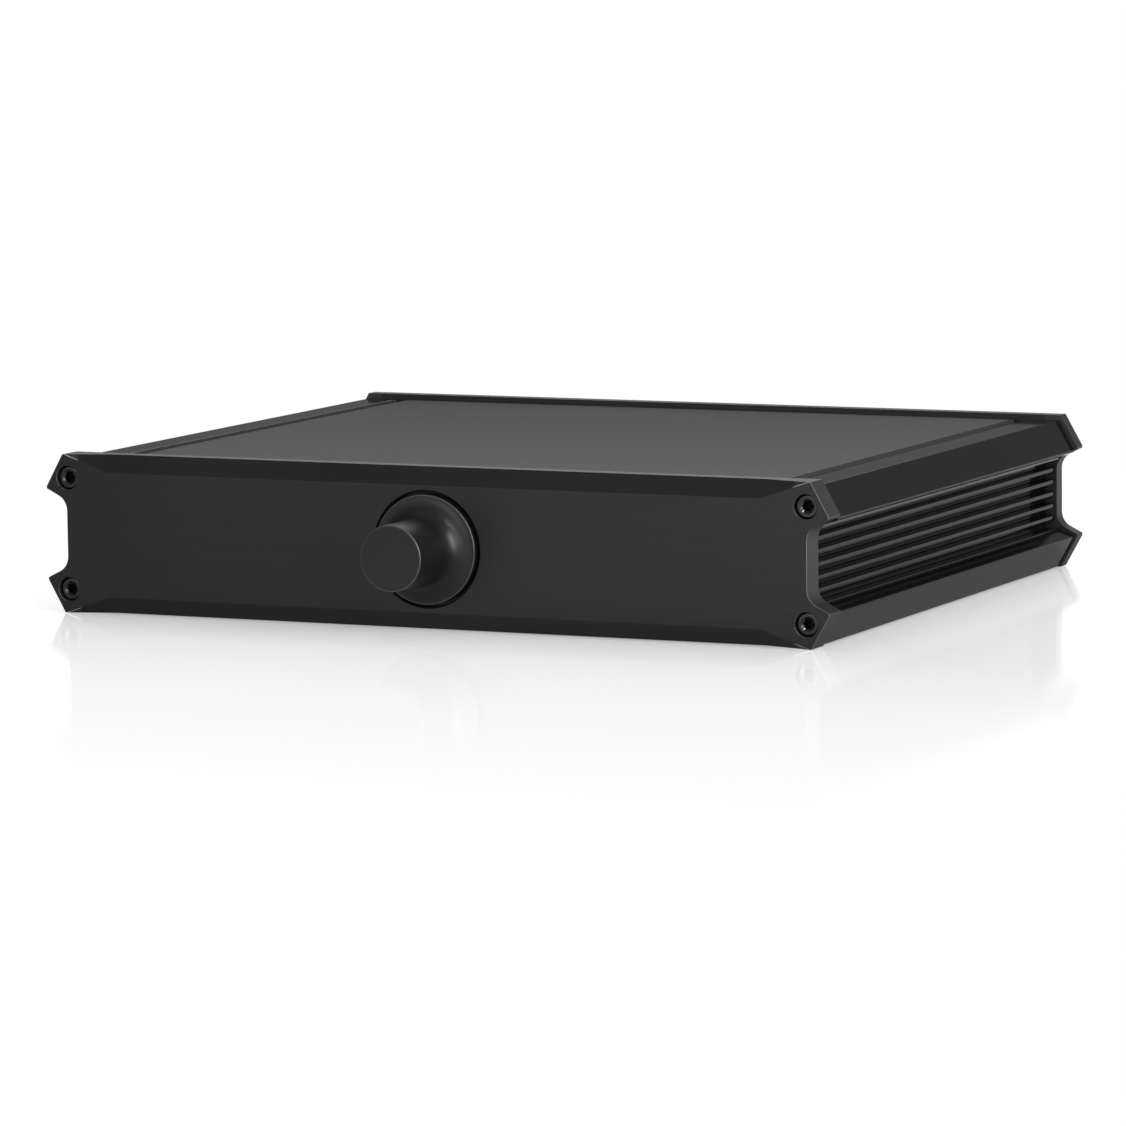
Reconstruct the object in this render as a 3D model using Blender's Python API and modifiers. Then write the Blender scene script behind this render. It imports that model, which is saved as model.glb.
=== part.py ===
"""Amplifier chassis: an extruded aluminium case with finned sides and one turned volume knob.

Metres, +Z up. The front panel faces -Y. The origin is at the middle of the case and knob
together, on the surface that the two end panels stand on.
"""
import math

import bmesh
import bpy
from mathutils import Matrix, Vector

# Overall case
CASE_WIDTH = 0.276           # over the pointed ends
CASE_DEPTH = 0.226           # front face of the front panel to the back of the rear panel
PANEL_HEIGHT = 0.052
FRONT_THICKNESS = 0.0096
REAR_THICKNESS = 0.0052
SEAM = 0.0003                # gap between neighbouring pieces

# Pointed ends of the panels
TIP_REACH = 0.0060           # tips stand this far outside the straight edges
TIP_DROP = 0.0110            # from the top or bottom edge to the middle of the tip
TIP_FLAT = 0.0008
NOTCH_DEPTH = 0.0074         # from the tips in to the wall of the notch
NOTCH_RISE = 0.0037          # how far the tip's inner face runs in height before the wall
NOTCH_FILLET = 0.0055

# Chamfers along the front panel's top and bottom edges, which run out at its corners
CHAMFER_HEIGHT = 0.0056
CHAMFER_DEPTH = 0.0047
CHAMFER_RUNOUT = 0.0169

# Side profiles
BODY_STEP = 0.0018           # the panels' top edge above the body
BODY_LIFT = 0.0002           # the body stops just short of the surface below
CORNER_INSET = 0.0006        # profile's outer corner behind the panel's
TIP_INSET = 0.0010
BODY_TIP_DROP = 0.0103
BODY_TIP_FLAT = 0.0007
HORN_RISE = 0.00265          # from a tip to the bead at the horn's inner end
LAND_WIDTH = 0.0108          # flat top strip of a profile
WALL = 0.0061                # between the fin roots and the inside
FIN_PITCH = 0.0041
FIN_THICKNESS = 0.0015
FIN_DEPTH = 0.0042
FIN_INSET = 0.0007           # fin tips behind the panel's notch wall
FIN_ROUND = 0.00030
ROOT_ROUND = 0.0004
END_GROOVE_LEAST = 0.0030    # least gap between the outermost fin and the horn
END_GROOVE_RAISE = 0.0009    # its floor stands this much proud of the fin roots
BEAD_RADIUS = 0.00038        # small rounded bead at the inner end of a horn's face
BEAD_OUTSET = 0.0014         # bead's centre beyond the fin tips
BEAD_START = 20              # degrees: where the bead's arc leaves the horn's face
BEAD_END = -180

# Lid and floor plate, which slide in slots of the side profiles
PLATE_THICKNESS = 0.0030
TONGUE_THICKNESS = 0.0013
SLOT_DEPTH = 0.0030
CHANNEL_WIDTH = 0.0054       # open channel between plate and profile

# Screws
SCREW_INSET_X = 0.0076       # from the tips
SCREW_INSET_Z = 0.0077       # from the panels' top and bottom edges
SHANK_DIAMETER = 0.0040
SHANK_LENGTH = 0.0125
SHANK_TIP = 0.0006
HEAD_DIAMETER = 0.0070
HEAD_HEIGHT = 0.0040
HEAD_RECESS = 0.0015         # head's face below the front panel's face
HEAD_CLEARANCE = 0.0005
HEAD_EDGE = 0.0003
SOCKET_FLATS = 0.0030
SOCKET_DEPTH = 0.0022
SUNK_DIAMETER = 0.0076       # countersunk head of a rear screw
SUNK_HEIGHT = 0.0022
SUNK_SOCKET_FLATS = 0.0024
SUNK_SOCKET_DEPTH = 0.0016

# Volume knob
KNOB_REACH = 0.0255          # nose in front of the front panel
NOSE_DIAMETER = 0.0212
NOSE_EDGE = 0.0003
FLARE_START = 0.0165         # straight length behind the nose
RIM_DIAMETER = 0.0352
RIM_FORWARD = 0.0013         # rim's front edge in front of the panel
RIM_THICKNESS = 0.0040
RIM_EDGE = 0.0004
RIM_GAP = 0.0010             # around the rim, in the panel's recess
RIM_FLOOR_GAP = 0.0013       # between the rim and the recess's floor
RECESS_EDGE = 0.0004
GRUB_DIAMETER = 0.0030
GRUB_LENGTH = 0.0050
GRUB_FORWARD = 0.0100        # grub screw's axis in front of the panel
GRUB_EDGE = 0.0004
GRUB_SOCKET_FLATS = 0.0015
GRUB_SOCKET_DEPTH = 0.0015

# Potentiometer
SHAFT_DIAMETER = 0.0060
SHAFT_SHORT = 0.0080         # shaft's end behind the knob's nose
SHAFT_EDGE = 0.0005
SHAFT_FLAT = 0.0010          # depth of the flat that the grub screw bears on
FLAT_MARGIN = 0.0010         # how far the flat runs on behind the grub screw
BUSHING_DIAMETER = 0.0090
BUSHING_PROUD = 0.0010       # thread left in front of the nut
BUSHING_EDGE = 0.0004
HOUSING_DIAMETER = 0.0240
HOUSING_THICKNESS = 0.0022
POCKET_CLEARANCE = 0.0008    # around the housing, in the panel's rear pocket
WASHER_DIAMETER = 0.0135
WASHER_THICKNESS = 0.0006
NUT_FLATS = 0.0120
NUT_THICKNESS = 0.0020
NUT_CLEARANCE = 0.0020       # around the nut, in the knob's cavity
MOUTH_CLEARANCE = 0.0013     # in front of the bushing, in the knob's cavity
WAFER_STANDOFF = 0.0002      # wafer's front behind the panel's rear face
WAFER_THICKNESS = 0.0012
TAB_WIDTH = 0.0150
TAB_DROP = 0.0035            # wafer's tab below its disc
TAB_LAP = 0.0048             # and how far it reaches into the disc
ROTOR_DIAMETER = 0.0160
ROTOR_THICKNESS = 0.0020
COVER_DEPTH = 0.0070
COVER_WALL = 0.0006
COVER_EDGE = 0.0008
LUG_PITCH = 0.0050
LUG_WIDTH = 0.0020
LUG_THICKNESS = 0.0006
LUG_GAP = 0.0005             # between a lug's upper end and the rear cover
LUG_FLOOR_GAP = 0.0033       # between its lower end and the floor plate

# Modelling
OVERRUN = 0.001              # how far a cutter passes beyond what it cuts
WEDGE_OVERRUN = 0.002
WELD = 0.000005              # points closer than this are one
SMOOTH_ANGLE = 35            # degrees: flatter edges are shaded smooth
ROUND_STEPS = 32
KNOB_STEPS = 56
FLARE_STEPS = 14
HOLE_STEPS = 28
SCREW_STEPS = 24
BORE_STEPS = 20
NOTCH_STEPS = 7
BEAD_STEPS = 5
FIN_STEPS = 3
ROOT_STEPS = 2

# Places worked out from the sizes above
FRONT_Y = (KNOB_REACH - CASE_DEPTH) / 2
REAR_Y = FRONT_Y + CASE_DEPTH
BODY_FRONT_Y = FRONT_Y + FRONT_THICKNESS + SEAM
BODY_REAR_Y = REAR_Y - REAR_THICKNESS - SEAM
PANEL_MIDDLE_Z = PANEL_HEIGHT / 2
BODY_HALF = (PANEL_HEIGHT - BODY_STEP - BODY_LIFT) / 2
BODY_MIDDLE_Z = BODY_LIFT + BODY_HALF
TIP_X = CASE_WIDTH / 2
CORNER_X = TIP_X - TIP_REACH
NOTCH_X = TIP_X - NOTCH_DEPTH
SCREW_X = TIP_X - SCREW_INSET_X
SCREW_Z = PANEL_MIDDLE_Z - SCREW_INSET_Z
FIN_TIP_X = NOTCH_X - FIN_INSET
FIN_ROOT_X = FIN_TIP_X - FIN_DEPTH
INNER_X = FIN_ROOT_X - WALL
BODY_CORNER_X = CORNER_X - CORNER_INSET
LAND_INNER_X = BODY_CORNER_X - LAND_WIDTH
SLOT_END_X = LAND_INNER_X + SLOT_DEPTH
PLATE_EDGE_X = LAND_INNER_X - CHANNEL_WIDTH
TONGUE_EDGE_X = SLOT_END_X - SEAM

# Heights above the body's middle: horn tips and beads, and as many fins as fit between them
BODY_TIP_Z = BODY_HALF - BODY_TIP_DROP
BEAD_Z = BODY_TIP_Z - HORN_RISE
FIN_COUNT = 1 + int((2 * (BEAD_Z - END_GROOVE_LEAST) - FIN_THICKNESS) / FIN_PITCH)
TOP_FIN_Z = FIN_PITCH * (FIN_COUNT - 1) / 2

# Places along the knob's axis, measured forwards from the front panel's face
RIM_BACK = RIM_FORWARD - RIM_THICKNESS
RECESS_FLOOR = RIM_BACK - RIM_FLOOR_GAP
FLARE_FRONT = KNOB_REACH - FLARE_START
SHAFT_FRONT = KNOB_REACH - SHAFT_SHORT
WAFER_FRONT = -(FRONT_THICKNESS + WAFER_STANDOFF)
WAFER_BACK = WAFER_FRONT - WAFER_THICKNESS
HOUSING_BACK = WAFER_FRONT + SEAM
HOUSING_FRONT = HOUSING_BACK + HOUSING_THICKNESS
POCKET_FLOOR = HOUSING_FRONT + SEAM
WASHER_FRONT = RECESS_FLOOR + SEAM + WASHER_THICKNESS
NUT_BACK = WASHER_FRONT + SEAM
BUSHING_FRONT = NUT_BACK + NUT_THICKNESS + BUSHING_PROUD
ROTOR_FRONT = WAFER_BACK - SEAM
ROTOR_BACK = ROTOR_FRONT - ROTOR_THICKNESS

# The solder lugs hang between the potentiometer's round body and the floor plate
LUG_TOP = -(HOUSING_DIAMETER / 2 + LUG_GAP)
LUG_BOTTOM = BODY_LIFT + PLATE_THICKNESS + LUG_FLOOR_GAP - PANEL_MIDDLE_Z


def start_empty():
    """Removes whatever the file holds and makes the two collections."""
    for obj in list(bpy.data.objects):
        bpy.data.objects.remove(obj, do_unlink=True)
    made = []
    for name in ("amplifier_chassis", "cutters"):
        collection = bpy.data.collections.new(name)
        bpy.context.scene.collection.children.link(collection)
        made.append(collection)
    return made


PARTS, CUTTERS = start_empty()


def finish(name, colour, roughness, metallic):
    """A plain Principled material."""
    material = bpy.data.materials.new(name)
    material.use_nodes = True
    shader = material.node_tree.nodes["Principled BSDF"]
    shader.inputs["Base Color"].default_value = (*colour, 1.0)
    shader.inputs["Roughness"].default_value = roughness
    shader.inputs["Metallic"].default_value = metallic
    return material


PANEL_FINISH = finish("brushed_black_anodised", (0.035, 0.036, 0.038), 0.42, 0.7)
PROFILE_FINISH = finish("satin_black_anodised", (0.045, 0.046, 0.048), 0.45, 0.7)
PLATE_FINISH = finish("matt_black_plate", (0.075, 0.076, 0.078), 0.55, 0.6)
KNOB_FINISH = finish("turned_black_aluminium", (0.030, 0.031, 0.033), 0.30, 0.8)
SCREW_FINISH = finish("black_oxide_steel", (0.020, 0.020, 0.021), 0.35, 0.9)
STEEL_FINISH = finish("plated_steel", (0.55, 0.55, 0.54), 0.30, 1.0)
BRASS_FINISH = finish("turned_brass", (0.62, 0.47, 0.22), 0.35, 1.0)
BOARD_FINISH = finish("phenolic_board", (0.16, 0.07, 0.03), 0.60, 0.0)
MOULDED_FINISH = finish("black_moulding", (0.02, 0.02, 0.02), 0.50, 0.0)


# Shapes

def add_object(name, mesh, collection=PARTS, material=None):
    """Links a new object that carries a mesh."""
    obj = bpy.data.objects.new(name, mesh)
    collection.objects.link(obj)
    if material:
        mesh.materials.clear()
        mesh.materials.append(material)
    return obj


def as_cutter(obj):
    """Moves an object to the cutters, drawn as wire and left out of renders."""
    for collection in list(obj.users_collection):
        collection.objects.unlink(obj)
    CUTTERS.objects.link(obj)
    obj.display_type = "WIRE"
    obj.hide_render = True
    return obj


def settle(obj):
    """Replaces an object's data by its evaluated mesh, welded and facing out."""
    graph = bpy.context.evaluated_depsgraph_get()
    mesh = bpy.data.meshes.new_from_object(obj.evaluated_get(graph))
    work = bmesh.new()
    work.from_mesh(mesh)
    bmesh.ops.remove_doubles(work, verts=work.verts, dist=WELD)
    bmesh.ops.recalc_face_normals(work, faces=work.faces)
    work.to_mesh(mesh)
    work.free()
    solid = add_object(obj.name + "_solid", mesh)
    solid.matrix_world = obj.matrix_world
    name = obj.name
    bpy.data.objects.remove(obj, do_unlink=True)
    solid.name = name
    return solid


def outline_solid(name, points, front_y, rear_y, material):
    """A flat outline in X and Z, drawn out along Y."""
    curve = bpy.data.curves.new(name, "CURVE")
    curve.dimensions = "2D"
    curve.fill_mode = "BOTH"
    curve.extrude = (rear_y - front_y) / 2
    spline = curve.splines.new("POLY")
    spline.points.add(len(points) - 1)
    for slot, (x, z) in zip(spline.points, points):
        slot.co = (x, z, 0.0, 1.0)
    spline.use_cyclic_u = True
    obj = add_object(name, curve)
    obj.rotation_euler = (math.pi / 2, 0.0, 0.0)
    obj.location = (0.0, (front_y + rear_y) / 2, 0.0)
    bpy.context.view_layer.update()
    solid = settle(obj)
    if material:
        solid.data.materials.clear()
        solid.data.materials.append(material)
    return solid


def turned(name, profile, material=None, steps=ROUND_STEPS):
    """A profile of radius and height, turned about its own Z. Heights run towards the front."""
    mesh = bpy.data.meshes.new(name)
    closed = profile[0][0] > 0.0
    edges = [(i, i + 1) for i in range(len(profile) - 1)]
    if closed:
        edges.append((len(profile) - 1, 0))
    mesh.from_pydata([(radius, 0.0, height) for radius, height in profile], edges, [])
    obj = add_object(name, mesh)
    screw = obj.modifiers.new("turn", "SCREW")
    screw.angle = 2 * math.pi
    screw.steps = steps
    screw.render_steps = steps
    screw.use_merge_vertices = True
    screw.merge_threshold = WELD
    bpy.context.view_layer.update()
    solid = settle(obj)
    for polygon in solid.data.polygons:
        polygon.use_smooth = True
    solid.data.set_sharp_from_angle(angle=math.radians(SMOOTH_ANGLE))
    if material:
        solid.data.materials.clear()
        solid.data.materials.append(material)
    return solid


def prism(name, flats, height, material=None):
    """A hexagonal prism standing on its own XY plane, centred on Z."""
    mesh = bpy.data.meshes.new(name)
    work = bmesh.new()
    radius = flats / 2 / math.cos(math.pi / 6)
    bmesh.ops.create_cone(work, cap_ends=True, segments=6, radius1=radius, radius2=radius, depth=height,
                          matrix=Matrix.Translation((0.0, 0.0, height / 2)))
    work.to_mesh(mesh)
    work.free()
    return add_object(name, mesh, material=material)


def block(name, size, centre, material=None):
    """A box given by its three sizes and its centre."""
    mesh = bpy.data.meshes.new(name)
    work = bmesh.new()
    bmesh.ops.create_cube(work, size=1.0, matrix=Matrix.Translation(centre) @ Matrix.Diagonal((*size, 1.0)))
    work.to_mesh(mesh)
    work.free()
    return add_object(name, mesh, material=material)


def combine(obj, other, operation="DIFFERENCE"):
    """Cuts or joins one object with another, which becomes a cutter."""
    as_cutter(other)
    boolean = obj.modifiers.new(operation.lower(), "BOOLEAN")
    boolean.operation = operation
    boolean.object = other
    boolean.solver = "EXACT"
    return obj


def face_front(obj, x, y, z):
    """Places a turned piece with its own Z pointing at -Y."""
    obj.rotation_euler = (math.pi / 2, 0.0, 0.0)
    obj.location = (x, y, z)
    return obj


def face_rear(obj, x, y, z):
    """Places a turned piece with its own Z pointing at +Y."""
    obj.rotation_euler = (-math.pi / 2, 0.0, 0.0)
    obj.location = (x, y, z)
    return obj


def rounded(before, corner, after, radius, steps):
    """Points of the arc that rounds one corner of an outline."""
    corner = Vector(corner)
    to_before = (Vector(before) - corner).normalized()
    to_after = (Vector(after) - corner).normalized()
    half_angle = to_before.angle(to_after) / 2
    centre = corner + (to_before + to_after).normalized() * radius / math.sin(half_angle)
    reach = radius / math.tan(half_angle)
    start = corner + to_before * reach - centre
    end = corner + to_after * reach - centre
    turn = start.angle_signed(end)
    points = []
    for step in range(steps + 1):
        angle = -turn * step / steps
        spun = Vector((start.x * math.cos(angle) - start.y * math.sin(angle),
                       start.x * math.sin(angle) + start.y * math.cos(angle)))
        points.append(tuple(centre + spun))
    return points


def mirrored_x(points):
    """The outline's other side, in the order that closes it."""
    return [(-x, z) for x, z in reversed(points)]


# End panels

def panel_outline():
    """Outline of both end panels: straight top and bottom, two pointed horns on each side."""
    tip_z = PANEL_HEIGHT - TIP_DROP
    inner_z = tip_z - TIP_FLAT / 2 - NOTCH_RISE
    tip_low = (TIP_X, tip_z - TIP_FLAT / 2)
    fillet = rounded(tip_low, (NOTCH_X, inner_z), (NOTCH_X, PANEL_MIDDLE_Z), NOTCH_FILLET, NOTCH_STEPS)
    upper = [(CORNER_X, PANEL_HEIGHT), (TIP_X, tip_z + TIP_FLAT / 2), tip_low] + fillet
    lower = [(x, PANEL_HEIGHT - z) for x, z in reversed(upper)]
    right = upper + lower
    return right + mirrored_x(right)


def chamfer_cutter(name, side):
    """Wedge along the front panel's top (side 1) or bottom (side -1) edge, pointed at both ends.

    Its faces meet the panel's corner, so the chamfer's width runs out to nothing there.
    """
    over = WEDGE_OVERRUN
    full_x = CORNER_X - CHAMFER_RUNOUT
    end_x = CORNER_X + CHAMFER_RUNOUT * (over / CHAMFER_HEIGHT + over / CHAMFER_DEPTH)
    edge_z = PANEL_MIDDLE_Z + side * PANEL_MIDDLE_Z
    front = (FRONT_Y - over, edge_z - side * CHAMFER_HEIGHT * (1 + over / CHAMFER_DEPTH))
    back = (FRONT_Y + CHAMFER_DEPTH * (1 + over / CHAMFER_HEIGHT), edge_z + side * over)
    mesh = bpy.data.meshes.new(name)
    work = bmesh.new()
    for hand in (1, -1):
        work.verts.new((hand * end_x, FRONT_Y - over, edge_z + side * over))
        work.verts.new((hand * full_x, *front))
        work.verts.new((hand * full_x, *back))
    bmesh.ops.convex_hull(work, input=work.verts)
    work.to_mesh(mesh)
    work.free()
    return add_object(name, mesh)


def screw_places():
    """Name, X and Z of the four corner screws."""
    places = []
    for level, up in (("upper", 1), ("lower", -1)):
        for hand, out in (("left", -1), ("right", 1)):
            places.append((f"{level}_{hand}", out * SCREW_X, PANEL_MIDDLE_Z + up * SCREW_Z))
    return places


def front_panel():
    """Thick front panel with its chamfers, screw holes and stepped hole for the knob."""
    panel = outline_solid("front_panel", panel_outline(), FRONT_Y, FRONT_Y + FRONT_THICKNESS, PANEL_FINISH)
    combine(panel, chamfer_cutter("top_chamfer", 1))
    combine(panel, chamfer_cutter("bottom_chamfer", -1))
    bore = HEAD_DIAMETER / 2 + HEAD_CLEARANCE
    hole = SHANK_DIAMETER / 2 + SEAM
    floor = -(HEAD_RECESS + HEAD_HEIGHT + SEAM)
    through = -(FRONT_THICKNESS + OVERRUN)
    for place, x, z in screw_places():
        profile = [(0.0, OVERRUN), (bore, OVERRUN), (bore, floor), (hole, floor),
                   (hole, through), (0.0, through)]
        combine(panel, face_front(turned(f"front_hole_{place}", profile, steps=HOLE_STEPS), x, FRONT_Y, z))
    recess = RIM_DIAMETER / 2 + RIM_GAP
    bushing = BUSHING_DIAMETER / 2 + SEAM
    pocket = HOUSING_DIAMETER / 2 + POCKET_CLEARANCE
    profile = [(0.0, OVERRUN), (recess + RECESS_EDGE + OVERRUN, OVERRUN), (recess, -RECESS_EDGE),
               (recess, RECESS_FLOOR), (bushing, RECESS_FLOOR), (bushing, POCKET_FLOOR),
               (pocket, POCKET_FLOOR), (pocket, through), (0.0, through)]
    combine(panel, face_front(turned("knob_opening", profile, steps=KNOB_STEPS), 0.0, FRONT_Y, PANEL_MIDDLE_Z))
    return panel


def rear_panel():
    """Plain rear panel with four countersunk holes."""
    panel = outline_solid("rear_panel", panel_outline(), REAR_Y - REAR_THICKNESS, REAR_Y, PANEL_FINISH)
    hole = SHANK_DIAMETER / 2 + SEAM
    sunk = SUNK_DIAMETER / 2 + SEAM
    through = -(REAR_THICKNESS + OVERRUN)
    for place, x, z in screw_places():
        profile = [(0.0, OVERRUN), (sunk, OVERRUN), (sunk, -SEAM), (hole, -(SUNK_HEIGHT + SEAM)),
                   (hole, through), (0.0, through)]
        combine(panel, face_rear(turned(f"rear_hole_{place}", profile, steps=SCREW_STEPS), x, REAR_Y, z))
    return panel


# Side profiles

def fin_outline(level):
    """Outer end of one fin, top to bottom, with rounded edges and roots."""
    top = level + FIN_THICKNESS / 2
    bottom = level - FIN_THICKNESS / 2
    above = (FIN_ROOT_X, top)
    below = (FIN_ROOT_X, bottom)
    tip_top = (FIN_TIP_X, top)
    tip_bottom = (FIN_TIP_X, bottom)
    points = rounded(above, tip_top, tip_bottom, FIN_ROUND, FIN_STEPS)
    return points + rounded(tip_top, tip_bottom, below, FIN_ROUND, FIN_STEPS)


def groove_floor(outer_x, root_x, top, bottom):
    """Floor of a groove between two levels, top to bottom, with rounded corners."""
    upper = (root_x, top)
    lower = (root_x, bottom)
    points = rounded((outer_x, top), upper, lower, ROOT_ROUND, ROOT_STEPS)
    return points + rounded(upper, lower, (outer_x, bottom), ROOT_ROUND, ROOT_STEPS)


def profile_outline():
    """Right side profile, in X and in height from its own middle."""
    slot_top = BODY_HALF - (PLATE_THICKNESS - TONGUE_THICKNESS) + SEAM
    slot_bottom = BODY_HALF - PLATE_THICKNESS - SEAM
    tip_x = TIP_X - TIP_INSET
    bead_x = FIN_TIP_X + BEAD_OUTSET
    upper = [
        (INNER_X, slot_bottom), (SLOT_END_X, slot_bottom), (SLOT_END_X, slot_top), (LAND_INNER_X, slot_top),
        (LAND_INNER_X, BODY_HALF), (BODY_CORNER_X, BODY_HALF), (tip_x, BODY_TIP_Z + BODY_TIP_FLAT / 2),
        (tip_x, BODY_TIP_Z - BODY_TIP_FLAT / 2),
    ]
    for step in range(BEAD_STEPS + 1):
        angle = math.radians(BEAD_START + (BEAD_END - BEAD_START) * step / BEAD_STEPS)
        upper.append((bead_x + BEAD_RADIUS * math.cos(angle), BEAD_Z + BEAD_RADIUS * math.sin(angle)))
    upper += groove_floor(bead_x, FIN_ROOT_X + END_GROOVE_RAISE, BEAD_Z, TOP_FIN_Z + FIN_THICKNESS / 2)
    fins = []
    for index in range(FIN_COUNT):
        level = TOP_FIN_Z - index * FIN_PITCH
        fins += fin_outline(level)
        if index < FIN_COUNT - 1:
            fins += groove_floor(FIN_TIP_X, FIN_ROOT_X, level - FIN_THICKNESS / 2,
                                 level - FIN_PITCH + FIN_THICKNESS / 2)
    lower = [(x, -z) for x, z in reversed(upper)]
    return upper + fins + lower


def side_profile(name, hand):
    """One extruded side, with the two screw ports that run along it."""
    points = [(x, z + BODY_MIDDLE_Z) for x, z in profile_outline()]
    if hand < 0:
        points = mirrored_x(points)
    side = outline_solid(name, points, BODY_FRONT_Y, BODY_REAR_Y, PROFILE_FINISH)
    port = SHANK_DIAMETER / 2 + SEAM
    length = BODY_REAR_Y - BODY_FRONT_Y + 2 * OVERRUN
    for place, x, z in screw_places():
        if x * hand > 0:
            bore = [(0.0, 0.0), (port, 0.0), (port, -length), (0.0, -length)]
            cutter = turned(f"port_{place}", bore, steps=BORE_STEPS)
            combine(side, face_front(cutter, x, BODY_FRONT_Y - OVERRUN, z))
    return side


def plate(name, side):
    """Lid (side 1) or floor plate (side -1): flush outside, with a thin tongue along each edge."""
    inner = BODY_HALF - PLATE_THICKNESS
    step = inner + TONGUE_THICKNESS
    right = [(PLATE_EDGE_X, BODY_HALF), (PLATE_EDGE_X, step), (TONGUE_EDGE_X, step), (TONGUE_EDGE_X, inner)]
    points = [(x, BODY_MIDDLE_Z + side * z) for x, z in right + mirrored_x(right)]
    return outline_solid(name, points, BODY_FRONT_Y, BODY_REAR_Y, PLATE_FINISH)


# Screws

def front_screw(name, x, z):
    """Socket-head screw, sunk in its counterbore."""
    head = HEAD_DIAMETER / 2
    shank = SHANK_DIAMETER / 2
    end = -(HEAD_HEIGHT + SHANK_LENGTH)
    profile = [(0.0, 0.0), (head - HEAD_EDGE, 0.0), (head, -HEAD_EDGE), (head, -HEAD_HEIGHT),
               (shank, -HEAD_HEIGHT), (shank, end + SHANK_TIP), (shank - SHANK_TIP, end), (0.0, end)]
    screw = turned(name, profile, SCREW_FINISH, steps=SCREW_STEPS)
    socket = prism(f"{name}_socket", SOCKET_FLATS, SOCKET_DEPTH + OVERRUN)
    face_y = FRONT_Y + HEAD_RECESS
    face_front(socket, x, face_y + SOCKET_DEPTH, z)
    return combine(face_front(screw, x, face_y, z), socket)


def rear_screw(name, x, z):
    """Countersunk socket screw, flush with the rear panel."""
    head = SUNK_DIAMETER / 2
    shank = SHANK_DIAMETER / 2
    end = -(SUNK_HEIGHT + SHANK_LENGTH)
    profile = [(0.0, 0.0), (head, 0.0), (shank, -SUNK_HEIGHT), (shank, end + SHANK_TIP),
               (shank - SHANK_TIP, end), (0.0, end)]
    screw = turned(name, profile, SCREW_FINISH, steps=SCREW_STEPS)
    socket = prism(f"{name}_socket", SUNK_SOCKET_FLATS, SUNK_SOCKET_DEPTH + OVERRUN)
    face_rear(socket, x, REAR_Y - SUNK_SOCKET_DEPTH, z)
    return combine(face_rear(screw, x, REAR_Y, z), socket)


# Knob and potentiometer, on an empty at the knob's axis with its own Z pointing at the front

def knob_axis():
    """Empty on the joint's axis, at the front panel's face."""
    empty = bpy.data.objects.new("knob_axis", None)
    PARTS.objects.link(empty)
    empty.empty_display_size = RIM_DIAMETER / 2
    return face_front(empty, 0.0, FRONT_Y, PANEL_MIDDLE_Z)


def on_axis(obj, axis):
    """Parents a piece to the knob's axis."""
    obj.parent = axis
    return obj


def flare():
    """Points of the knob's bell, a quarter ellipse from the straight neck out to the rim."""
    neck = NOSE_DIAMETER / 2
    grow = RIM_DIAMETER / 2 - neck
    points = []
    for step in range(FLARE_STEPS):
        angle = math.pi / 2 * step / FLARE_STEPS
        forward = FLARE_FRONT - (FLARE_FRONT - RIM_FORWARD) * math.sin(angle)
        points.append((neck + grow * (1 - math.cos(angle)), forward))
    return points


def volume_knob(axis):
    """Turned knob: flat nose, straight neck, flare and a thin rim that sits in the panel's recess."""
    nose = NOSE_DIAMETER / 2
    rim = RIM_DIAMETER / 2
    cavity = NUT_FLATS / 2 / math.cos(math.pi / 6) + NUT_CLEARANCE
    cavity_end = BUSHING_FRONT + MOUTH_CLEARANCE
    bore = SHAFT_DIAMETER / 2 + SEAM
    bore_end = SHAFT_FRONT + SEAM
    profile = [(0.0, KNOB_REACH), (nose - NOSE_EDGE, KNOB_REACH), (nose, KNOB_REACH - NOSE_EDGE)]
    profile += flare()
    profile += [(rim - RIM_EDGE, RIM_FORWARD), (rim, RIM_FORWARD - RIM_EDGE), (rim, RIM_BACK + RIM_EDGE),
                (rim - RIM_EDGE, RIM_BACK), (cavity, RIM_BACK), (cavity, cavity_end), (bore, cavity_end),
                (bore, bore_end), (0.0, bore_end)]
    knob = on_axis(turned("volume_knob", profile, KNOB_FINISH, steps=KNOB_STEPS), axis)
    grub = GRUB_DIAMETER / 2 + SEAM
    hole = turned("grub_hole", [(0.0, 0.0), (grub, 0.0), (grub, -rim), (0.0, -rim)], steps=BORE_STEPS)
    hole.rotation_euler = (-math.pi / 2, 0.0, 0.0)
    hole.location = (0.0, 0.0, GRUB_FORWARD)
    return combine(knob, on_axis(hole, axis))


def knob_grub_screw(axis):
    """Grub screw under the knob, bearing on the shaft's flat."""
    radius = GRUB_DIAMETER / 2
    inner = SHAFT_DIAMETER / 2 - SHAFT_FLAT + SEAM
    profile = [(0.0, 0.0), (radius - GRUB_EDGE, 0.0), (radius, -GRUB_EDGE), (radius, GRUB_EDGE - GRUB_LENGTH),
               (radius - GRUB_EDGE, -GRUB_LENGTH), (0.0, -GRUB_LENGTH)]
    screw = turned("knob_grub_screw", profile, SCREW_FINISH, steps=BORE_STEPS)
    socket = prism("grub_socket", GRUB_SOCKET_FLATS, GRUB_SOCKET_DEPTH + OVERRUN)
    for piece, sink in ((screw, 0.0), (socket, GRUB_SOCKET_DEPTH)):
        piece.rotation_euler = (math.pi / 2, 0.0, 0.0)
        piece.location = (0.0, -(inner + GRUB_LENGTH - sink), GRUB_FORWARD)
        on_axis(piece, axis)
    return combine(screw, socket)


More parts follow.
